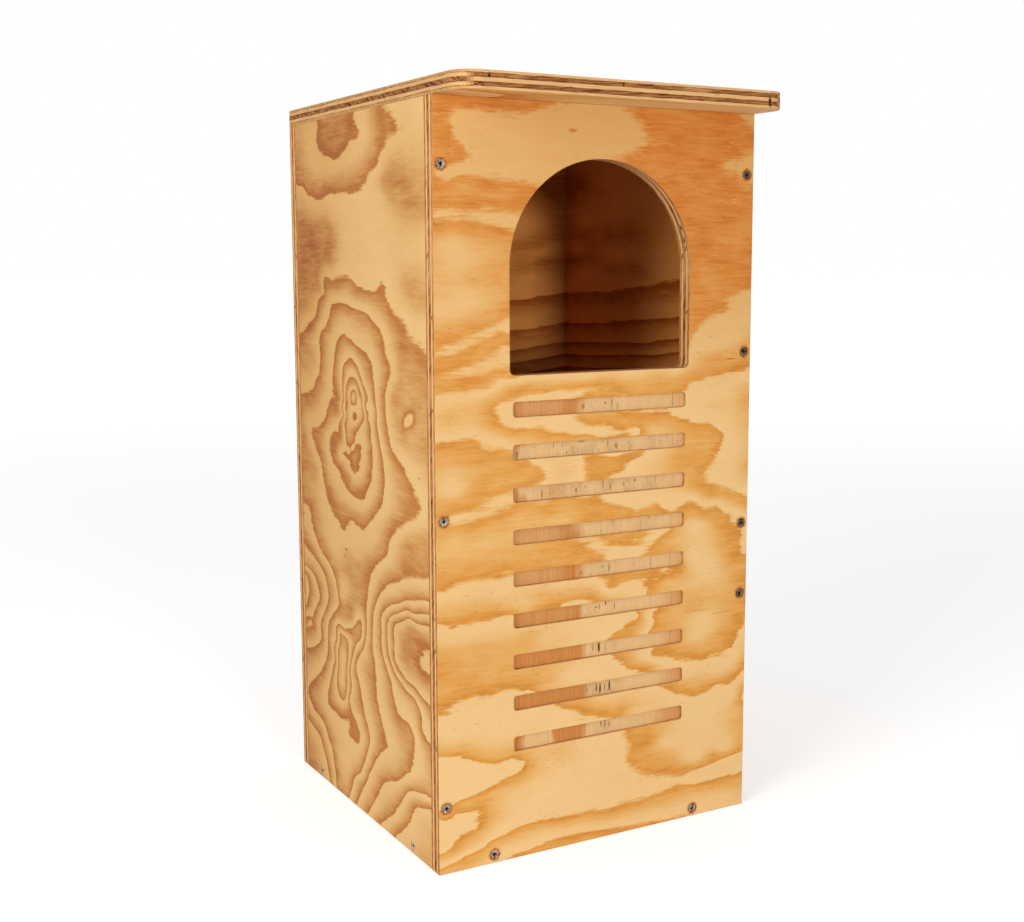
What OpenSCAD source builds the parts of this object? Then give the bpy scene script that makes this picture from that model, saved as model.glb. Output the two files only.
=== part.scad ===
// Owl nest box of plywood: four walls, a floor, a roof that reaches out over the front, an
// arched entrance with a ladder of shallow grooves below it, and a clean-out door that
// pivots in the lower half of the right-hand side. Millimetres, +Z up, front towards -Y.
// The origin is the middle of the base, on the surface that the box stands on.

/* [Body] */
// Width of the body, across the front panel
body_w = 328; // [300:1:380]
// Depth of the body, from the front face to the back face
body_d = 328; // [300:1:380]
// Height of the walls, from the base to the underside of the roof
wall_h = 660; // [630:1:760]
// Thickness of the plywood of the walls and the floor
ply = 15; // [13:0.5:18]

/* [Roof] */
// Thickness of the roof board
roof_t = 15; // [12:0.5:20]
// How far the roof reaches past the front panel
roof_overhang = 50; // [30:1:80]
// Radius of the roof's two front corners, seen from above
roof_corner_r = 22; // [8:1:30]

/* [Entrance] */
// Width of the entrance between its jambs
entrance_w = 186; // [140:1:200]
// Height of the entrance, from its sill to the crown of its arch
entrance_h = 184; // [150:1:200]
// Wood left between the crown of the arch and the roof
entrance_top_margin = 46; // [35:1:70]
// Radius of the two corners at the sill
entrance_corner_r = 5; // [2:0.5:12]

/* [Ladder grooves] */
// Number of grooves in the ladder on the front panel
groove_count = 9; // [1:1:9]
// Length of a groove, across the panel
groove_w = 180; // [120:1:200]
// Height of a groove
groove_h = 13.4; // [8:0.1:18]
// Depth of a groove into the panel
groove_depth = 3; // [1:0.5:5]
// Distance from one groove to the next
groove_pitch = 37; // [28:0.5:38]
// Wood left between the sill and the top groove
groove_drop = 22.5; // [15:0.5:26]
// Radius of the corners of a groove, left by the router bit
groove_corner_r = 3; // [1:0.5:3.5]

/* [Clean-out door] */
// Height of the pivot above the base
door_pivot_z = 212; // [180:1:230]
// Length of the door above its pivot
door_head = 32; // [24:1:40]
// Gap between the top of the door and the fixed panel above it
door_top_gap = 2; // [1.5:0.5:4]
// Gap between the foot of the door and the surface the box stands on
door_foot_gap = 2; // [1:0.5:5]
// Gap between the door and the front and back panels
door_side_gap = 1; // [0.5:0.5:2]
// Gap between the closed door and the edge of the floor
door_stop_gap = 0.5; // [0.3:0.1:1]

/* [Screws] */
// Length of a countersunk wood screw
screw_l = 38; // [32:1:42]
// Outer diameter of the thread, and of the plain shank above it
screw_d = 4.2; // [3.8:0.1:4.6]
// Diameter of the thread at its root
screw_root_d = 3; // [2.4:0.1:3.4]
// Length of the plain shank, with the head
screw_plain_l = 15; // [12:1:18]
// Pitch of the thread
screw_pitch = 2.8; // [2:0.1:3.5]
// Diameter of a countersunk head
screw_head_d = 8.2; // [7.4:0.1:9]
// Height of a countersunk head
screw_head_h = 2.6; // [2.2:0.1:3.2]
// Height of the straight rim round a countersunk head
screw_rim_h = 0.4; // [0.2:0.1:0.8]
// How far a head lies below the wood's surface
screw_sink = 0.3; // [0.1:0.1:0.8]
// Clearance all round a screw in its hole
screw_fit = 0.1; // [0.05:0.01:0.1]
// Clearance round the head of a pivot screw, which turns in its countersink
pivot_head_fit = 0.3; // [0.2:0.1:0.6]
// Width of the arms of the cross recess
recess_arm = 1.2; // [0.8:0.1:1.6]
// Share of a head's diameter that its cross recess spans
recess_span = 0.5; // [0.4:0.05:0.6]
// Depth of the cross recess
recess_depth = 2; // [1.4:0.1:2.2]
// Distance from the top of the walls down to the top screws
top_screw_margin = 55; // [45:1:70]
// Height of the middle screws on the left, above the base
left_mid_screw_z = 310; // [250:1:380]
// Height of the lowest screws on the left, above the base
left_low_screw_z = 59; // [45:1:80]
// Distance from the lower edge of the fixed right panel up to its lowest screws
right_low_screw_rise = 34; // [28:1:50]
// Distance from the left edge to the left floor screw, on the front and the back
floor_screw_left_in = 54; // [46:1:70]
// Distance from the right edge to the right floor screw, on the front and the back
floor_screw_right_in = 60; // [46:1:70]
// Distance from the front and back faces to the floor screws of the left side
side_floor_screw_in = 54; // [46:1:70]
// Distance from the box's corners to the roof screws
roof_screw_in = 62; // [54:1:90]

/* [Turn button] */
// Height of the turn button's screw above the base
button_z = 70; // [60:1:120]
// Length of the turn button from its screw to its tip
button_reach = 34; // [28:1:45]
// Width of the turn button
button_w = 12; // [10:0.5:13]
// Thickness of the turn button
button_t = 1.5; // [1:0.1:2.5]
// Gap between the turn button and the wood behind it
button_gap = 0.3; // [0.3:0.1:0.8]
// Gap between the turn button and the head of its screw
button_head_gap = 0.1; // [0.1:0.1:0.5]
// Length of the turn button's screw below its head
button_screw_l = 25; // [20:1:28]
// Diameter of the head of the turn button's screw
button_head_d = 8.4; // [7.4:0.1:9]
// Height of the head of the turn button's screw
button_head_h = 2.6; // [2:0.1:3]
// Length of that screw's plain shank inside the wood
button_plain_l = 3; // [1:0.5:6]

/* [Mounting and drainage] */
// Diameter of the two fixing holes in the back panel
fixing_hole_d = 8; // [6:0.5:10]
// Height of the lower fixing hole above the base
fixing_low_z = 110; // [90:1:160]
// Distance between the two fixing holes
fixing_spacing = 400; // [300:1:430]
// Diameter of the drain holes in the floor
drain_hole_d = 10; // [6:0.5:12]
// Distance from the floor's middle to each drain hole, both ways
drain_hole_out = 90; // [60:1:95]

/* [Hidden] */

// Faces of the body
front_y = -body_d / 2;
back_y = body_d / 2;
left_x = -body_w / 2;
right_x = body_w / 2;
inner_x = right_x - ply;
inner_y = back_y - ply;
// Middle of a board's thickness, where a screw enters its edge
edge_x = right_x - ply / 2;
edge_y = back_y - ply / 2;
floor_mid_z = ply / 2;
// Entrance and grooves
sill_z = wall_h - entrance_top_margin - entrance_h;
arch_r = entrance_w / 2;
arch_z = sill_z + entrance_h - arch_r;
top_groove_z = sill_z - groove_drop - groove_h / 2;
// Door and the fixed panel above it
door_top_z = door_pivot_z + door_head;
seam_z = door_top_z + door_top_gap;
door_half_d = inner_y - door_side_gap;
// Rows of screws
left_screw_zs = [left_low_screw_z, left_mid_screw_z, wall_h - top_screw_margin];
right_low_z = seam_z + right_low_screw_rise;
right_top_z = wall_h - top_screw_margin;
right_screw_zs = [right_low_z, (right_low_z + right_top_z) / 2, right_top_z];
floor_screw_xs = [left_x + floor_screw_left_in, right_x - floor_screw_right_in];
side_floor_screw_ys = [front_y + side_floor_screw_in, back_y - side_floor_screw_in];
roof_screw_xs = [left_x + roof_screw_in, right_x - roof_screw_in];
roof_screw_ys = [front_y + roof_screw_in, back_y - roof_screw_in];
roof_top_z = wall_h + roof_t;
// Outer face of the turn button
button_face_x = right_x + button_gap + button_t;
// Length of a screw's tip, and room left beyond it in its hole
tip_l = 1.5 * screw_pitch;
hole_end = 1;
// How far a cutter reaches past the surface that it opens
past = 1;
// Sides of the large round shapes and of the screws
facets = 96;
screw_facets = 32;

wood = [0.88, 0.69, 0.43];
door_wood = [0.85, 0.64, 0.38];
roof_wood = [0.82, 0.62, 0.38];
steel = [0.62, 0.61, 0.6];

// A board given by its lowest corner and its highest corner
module board(low, high) {
    translate(low) cube(high - low);
}

// A rectangle with four round corners, centred
module round_rectangle(w, h, r) {
    square([w - 2 * r, h], center = true);
    square([w, h - 2 * r], center = true);
    for (x = [-1, 1], y = [-1, 1])
        translate([x * (w / 2 - r), y * (h / 2 - r)]) circle(r, $fn = facets);
}

// Outline of the entrance on the front panel: a half circle on straight jambs, with the
// sill's two corners rounded. Its origin is the middle of the sill
module entrance_outline() {
    jamb = arch_z - sill_z;
    translate([0, jamb]) intersection() {
        circle(arch_r, $fn = 2 * facets);
        translate([-arch_r, 0]) square([entrance_w, arch_r]);
    }
    translate([-arch_r, entrance_corner_r]) square([entrance_w, jamb - entrance_corner_r]);
    translate([-arch_r + entrance_corner_r, 0])
        square([entrance_w - 2 * entrance_corner_r, jamb]);
    for (side = [-1, 1])
        translate([side * (arch_r - entrance_corner_r), entrance_corner_r])
            circle(entrance_corner_r, $fn = facets);
}

// Carries its children's flat outline onto a plane of constant Y, and thickens it towards -Y
module upright(y, thickness) {
    translate([0, y, 0]) rotate([90, 0, 0]) linear_extrude(thickness) children();
}

// Ways a screw can be driven: its own +Z is the way its head looks
module at_front(x, z) translate([x, front_y + screw_sink, z]) rotate([90, 0, 0]) children();
module at_back(x, z) translate([x, back_y - screw_sink, z]) rotate([-90, 0, 0]) children();
module at_left(y, z) translate([left_x + screw_sink, y, z]) rotate([0, -90, 0]) children();
module at_roof(x, y) translate([x, y, roof_top_z - screw_sink]) children();
module at_button() translate([button_face_x + button_head_gap, edge_y, button_z])
    rotate([0, 90, 0]) children();

// Cross recess of a screw head whose top is at z
module cross_recess(z, r) {
    translate([0, 0, z]) intersection() {
        rotate_extrude($fn = screw_facets)
            polygon([[0, past], [r, past], [r, 0], [recess_arm / 2, -recess_depth], [0, -recess_depth]]);
        for (turn = [0, 90]) rotate(turn)
            translate([-r, -recess_arm / 2, -recess_depth - past])
                cube([2 * r, recess_arm, recess_depth + 3 * past]);
    }
}

// Half section of a thread as rings, from depth start to the tip at depth end
function thread_rings(start, end) = let (
        rings = floor((end - start - tip_l) / screw_pitch),
        root = screw_root_d / 2
    ) concat(
        [[root, -start]],
        [for (i = [0 : rings - 1], step = [0, 1]) step == 0
            ? [screw_d / 2, -(start + (i + 0.5) * screw_pitch)]
            : [root, -(start + (i + 1) * screw_pitch)]],
        [[0, -end]]
    );

// Countersunk wood screw, with the top of its head at z = 0 and its tip below
module wood_screw() {
    color(steel) difference() {
        rotate_extrude($fn = screw_facets) polygon(concat(
            [[0, 0], [screw_head_d / 2, 0], [screw_head_d / 2, -screw_rim_h],
                [screw_d / 2, -screw_head_h], [screw_d / 2, -screw_plain_l]],
            thread_rings(screw_plain_l, screw_l)));
        cross_recess(0, recess_span * screw_head_d / 2);
    }
}

// Everything a wood screw takes out of the wood: countersink, hole and the open face above
module screw_hole(head_fit = screw_fit) {
    head_r = screw_head_d / 2 + head_fit;
    hole_r = screw_d / 2 + screw_fit;
    rim = screw_rim_h + head_fit;
    rotate_extrude($fn = screw_facets) polygon([
        [0, past + screw_sink], [head_r, past + screw_sink], [head_r, -rim],
        [hole_r, -screw_head_h - head_fit], [hole_r, -screw_l - hole_end], [0, -screw_l - hole_end]]);
}

// Round-headed screw of the turn button, with the underside of its head at z = 0. The head
// rises straight to a shoulder and then as a quarter ellipse to a small flat top
module button_screw() {
    flat_r = 0.25 * button_head_d;
    shoulder_h = 0.3 * button_head_h;
    dome_w = button_head_d / 2 - flat_r;
    dome_h = button_head_h - shoulder_h;
    plain = button_t + button_gap + button_head_gap + button_plain_l;
    color(steel) difference() {
        rotate_extrude($fn = screw_facets) polygon(concat(
            [[0, button_head_h]],
            [for (a = [90 : -15 : 0]) [flat_r + dome_w * cos(a), shoulder_h + dome_h * sin(a)]],
            [[button_head_d / 2, 0], [screw_d / 2, 0], [screw_d / 2, -plain]],
            thread_rings(plain, button_screw_l)));
        cross_recess(button_head_h, recess_span * button_head_d / 2);
    }
}

module button_screw_hole() {
    translate([0, 0, -button_screw_l - hole_end])
        cylinder(r = screw_d / 2 + screw_fit, h = button_screw_l + hole_end + past,
            $fn = screw_facets);
}

// Holes that the screws of each row need. The same rows place the screws themselves
module front_left_row() for (z = left_screw_zs) at_front(-edge_x, z) children();
module front_right_row() for (z = right_screw_zs) at_front(edge_x, z) children();
module front_floor_row() for (x = floor_screw_xs) at_front(x, floor_mid_z) children();
module back_left_row() for (z = left_screw_zs) at_back(-edge_x, z) children();
module back_right_row() for (z = right_screw_zs) at_back(edge_x, z) children();
module back_floor_row() for (x = floor_screw_xs) at_back(x, floor_mid_z) children();
module left_floor_row() for (y = side_floor_screw_ys) at_left(y, floor_mid_z) children();
module roof_front_row() for (x = roof_screw_xs) at_roof(x, -edge_y) children();
module roof_back_row() for (x = roof_screw_xs) at_roof(x, edge_y) children();
module roof_left_row() for (y = roof_screw_ys) at_roof(-edge_x, y) children();
module roof_right_row() for (y = roof_screw_ys) at_roof(edge_x, y) children();

module front_panel() {
    color(wood) difference() {
        board([left_x, front_y, 0], [right_x, -inner_y, wall_h]);
        translate([0, 0, sill_z]) upright(-inner_y + past, ply + 2 * past) entrance_outline();
        for (i = [0 : groove_count - 1])
            translate([0, 0, top_groove_z - i * groove_pitch])
                upright(front_y + groove_depth, groove_depth + past)
                    round_rectangle(groove_w, groove_h, groove_corner_r);
        front_left_row() screw_hole();
        front_right_row() screw_hole();
        front_floor_row() screw_hole();
        roof_front_row() screw_hole();
        at_front(edge_x, door_pivot_z) screw_hole(pivot_head_fit);
    }
}

module back_panel() {
    color(wood) difference() {
        board([left_x, inner_y, 0], [right_x, back_y, wall_h]);
        for (z = [fixing_low_z, fixing_low_z + fixing_spacing])
            translate([0, inner_y - past, z]) rotate([-90, 0, 0])
                cylinder(d = fixing_hole_d, h = ply + 2 * past, $fn = facets);
        back_left_row() screw_hole();
        back_right_row() screw_hole();
        back_floor_row() screw_hole();
        roof_back_row() screw_hole();
        at_back(edge_x, door_pivot_z) screw_hole(pivot_head_fit);
        at_button() button_screw_hole();
    }
}

module left_side_panel() {
    color(wood) difference() {
        board([left_x, -inner_y, 0], [-inner_x, inner_y, wall_h]);
        front_left_row() screw_hole();
        back_left_row() screw_hole();
        left_floor_row() screw_hole();
        roof_left_row() screw_hole();
    }
}

module right_side_panel() {
    color(wood) difference() {
        board([inner_x, -inner_y, seam_z], [right_x, inner_y, wall_h]);
        front_right_row() screw_hole();
        back_right_row() screw_hole();
        roof_right_row() screw_hole();
    }
}

module clean_out_door() {
    color(door_wood) difference() {
        board([inner_x, -door_half_d, door_foot_gap], [right_x, door_half_d, door_top_z]);
        at_front(edge_x, door_pivot_z) screw_hole();
        at_back(edge_x, door_pivot_z) screw_hole();
    }
}

module floor_panel() {
    color(wood) difference() {
        board([-inner_x, -inner_y, 0], [inner_x - door_stop_gap, inner_y, ply]);
        for (x = [-1, 1], y = [-1, 1])
            translate([x * drain_hole_out, y * drain_hole_out, -past])
                cylinder(d = drain_hole_d, h = ply + 2 * past, $fn = facets);
        front_floor_row() screw_hole();
        back_floor_row() screw_hole();
        left_floor_row() screw_hole();
    }
}

module roof_panel() {
    eaves_y = front_y - roof_overhang;
    color(roof_wood) difference() {
        translate([0, 0, wall_h]) linear_extrude(roof_t) {
            translate([left_x, eaves_y + roof_corner_r])
                square([body_w, body_d + roof_overhang - roof_corner_r]);
            translate([left_x + roof_corner_r, eaves_y])
                square([body_w - 2 * roof_corner_r, 2 * roof_corner_r]);
            for (side = [-1, 1])
                translate([side * (right_x - roof_corner_r), eaves_y + roof_corner_r])
                    circle(roof_corner_r, $fn = facets);
        }
        roof_front_row() screw_hole();
        roof_back_row() screw_hole();
        roof_left_row() screw_hole();
        roof_right_row() screw_hole();
    }
}

module front_left_screws() front_left_row() wood_screw();
module front_right_screws() front_right_row() wood_screw();
module front_floor_screws() front_floor_row() wood_screw();
module back_left_screws() back_left_row() wood_screw();
module back_right_screws() back_right_row() wood_screw();
module back_floor_screws() back_floor_row() wood_screw();
module left_floor_screws() left_floor_row() wood_screw();
module roof_front_screws() roof_front_row() wood_screw();
module roof_back_screws() roof_back_row() wood_screw();
module roof_left_screws() roof_left_row() wood_screw();
module roof_right_screws() roof_right_row() wood_screw();
module front_pivot_screw() at_front(edge_x, door_pivot_z) wood_screw();
module back_pivot_screw() at_back(edge_x, door_pivot_z) wood_screw();
module turn_button_screw() at_button() button_screw();

// Steel strip that hangs beside the door and turns across its edge to hold it shut
module turn_button() {
    arm = button_reach - button_w / 2;
    color(steel) translate([right_x + button_gap, edge_y, button_z]) rotate([0, 90, 0])
        linear_extrude(button_t) difference() {
            union() {
                translate([0, -button_w / 2]) square([arm, button_w]);
                for (x = [0, arm]) translate([x, 0]) circle(d = button_w, $fn = facets);
            }
            circle(r = screw_d / 2 + screw_fit, $fn = screw_facets);
        }
}

front_panel();
back_panel();
left_side_panel();
right_side_panel();
clean_out_door();
floor_panel();
roof_panel();
front_left_screws();
front_right_screws();
front_floor_screws();
back_left_screws();
back_right_screws();
back_floor_screws();
left_floor_screws();
roof_front_screws();
roof_back_screws();
roof_left_screws();
roof_right_screws();
front_pivot_screw();
back_pivot_screw();
turn_button();
turn_button_screw();
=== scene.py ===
"""Looks of the owl nest box: seven plywood boards, their screws and a turn button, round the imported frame."""

import functools
import math

import bmesh
import bpy
import numpy as np
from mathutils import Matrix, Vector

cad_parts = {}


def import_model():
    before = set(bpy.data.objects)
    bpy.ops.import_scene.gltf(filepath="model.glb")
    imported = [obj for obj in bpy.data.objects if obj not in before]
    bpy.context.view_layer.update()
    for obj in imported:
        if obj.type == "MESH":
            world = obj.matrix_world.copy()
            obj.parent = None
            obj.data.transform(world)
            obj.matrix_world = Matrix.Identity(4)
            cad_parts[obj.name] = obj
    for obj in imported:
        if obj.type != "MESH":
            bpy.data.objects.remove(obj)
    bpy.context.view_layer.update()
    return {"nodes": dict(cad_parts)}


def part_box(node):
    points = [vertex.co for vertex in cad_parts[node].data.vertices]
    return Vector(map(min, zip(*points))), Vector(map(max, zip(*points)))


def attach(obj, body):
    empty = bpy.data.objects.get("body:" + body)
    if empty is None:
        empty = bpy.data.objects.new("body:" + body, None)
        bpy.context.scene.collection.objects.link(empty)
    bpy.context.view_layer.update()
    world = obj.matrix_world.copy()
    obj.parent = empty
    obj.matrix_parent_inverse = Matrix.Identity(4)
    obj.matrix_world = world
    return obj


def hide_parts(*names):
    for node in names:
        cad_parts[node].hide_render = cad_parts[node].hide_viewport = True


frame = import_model()

# Units and limits

MM = 0.001
X, Y, Z = 0, 1, 2
TOUCH = 1e-6  # metres within which a point lies on a plane
SHARP = 1.0  # radians past which the bend at an edge is a sharp one
ACROSS = 0.9  # part of a face's normal along an axis past which the face lies across it
ROUNDED = 0.97  # length of a vertex's mean normal below which it lies on an edge
AT_ONCE = 4000  # points whose ring count is worked out in one array

# The object's sizes

EASE = 0.6 * MM  # how far the boards' long edges are eased
FINE, PLAIN, COARSE = 4 * MM, 6 * MM, 8 * MM  # width of the strips that a board's mesh is cut into
ROOF_CORNER = 23 * MM  # reach of the roof's round front corners
GROOVE_DEPTH, GROOVE_REACH = 3 * MM, 91 * MM  # the reach is from the board's middle, past their ends
GROOVE_SKIN, FACE_SKIN = 0.2 * MM, 1 * MM  # depths within which a triangle is on a groove's floor or a face
BUTTON_GAP = 0.3 * MM  # between the back panel's edge and the turn button
SCREW_ROOM = 10  # mm round any point of a front screw that hold all of it and no other
SCREW_RING_REACH = 5.8  # mm from a screw's middle to the outside of the dark ring round its head, partly stain and partly painted shade of the countersink gap

PLY_JOINTS = (2.4, 5.7, 9.3, 12.6)  # depths of the four glue lines, in mm from the seen face
MID_DEPTH = 7.5 * MM  # half a board's thickness
INNER_PLIES, CORE_PLIES = 5.1 * MM, 4.7 * MM  # from there to the outer glue lines, and to short of them

# Finishes

SEEN_FACE, SAWN_EDGE, GROOVE_FLOOR, FAR_FACE = range(4)  # a board's material slots
VECTOR_FIELDS = ("Board", "Figure")  # the fields kept on a board's mesh that hold three numbers
SURFACE = (("Colour", "Color"), ("Roughness", "Float"), ("Height", "Float"))  # what a finish's group puts out
REST_WEIGHT = 0.12  # of the value that holds where no spot reaches
WAVES, WAVE_HEIGHT = 14, 2.1  # of a face without marks; the height is in rings per metre of wave length
KNOT_LEAN = 0.7  # part of a distance along the grain that counts round a knot
CALM = 0.15  # softness of the faces that have no list of it
WOOD_GLOSS = 0.12  # specular level

# Studio

FLOOR_DROP = 0.4 * MM  # of the floor below the box
FLOOR_GLOW, FAR_GLOW = 0.45, 0.575  # strength near the box and far away
WORLD_LIGHT = 0.47  # strength on things; where it is seen it is 1
GLOW_STARTS, GLOW_ENDS = 0.9, 4.5  # metres from the box between which the glow grows
LIT_HEIGHT = 0.34  # metres up to the point that the lamps are turned to
VIEW_POINT = (-0.6704, -1.2192, 0.5282)
VIEW_DIP, VIEW_TURN = 7.596, 30.219  # degrees down, and to the right


def places_of(mesh):
    """The mesh's vertices, one row each."""
    places = np.zeros(len(mesh.vertices) * 3, np.float32)
    mesh.vertices.foreach_get("co", places)
    return places.reshape(-1, 3).astype(float)


def placed(name, data):
    """A new object in the scene with the data."""
    piece = bpy.data.objects.new(name, data)
    bpy.context.scene.collection.objects.link(piece)
    return piece


# Growth rings

# Peeled veneer shows its growth rings as contour lines of one slow height field, the ring
# count. Just past a whole number the wood is pale early wood, and it darkens towards the
# next one. Each mark below is (ring count, places along and up the board in mm). The marks are
# set closer together where a ring bends.

# (part of a ring grown, how dark the wood is there)
TONE_CURVE = ((0.2, 0.07), (0.36, 0.2), (0.5, 0.38), (0.64, 0.58), (0.8, 0.8), (0.93, 0.96))

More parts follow.
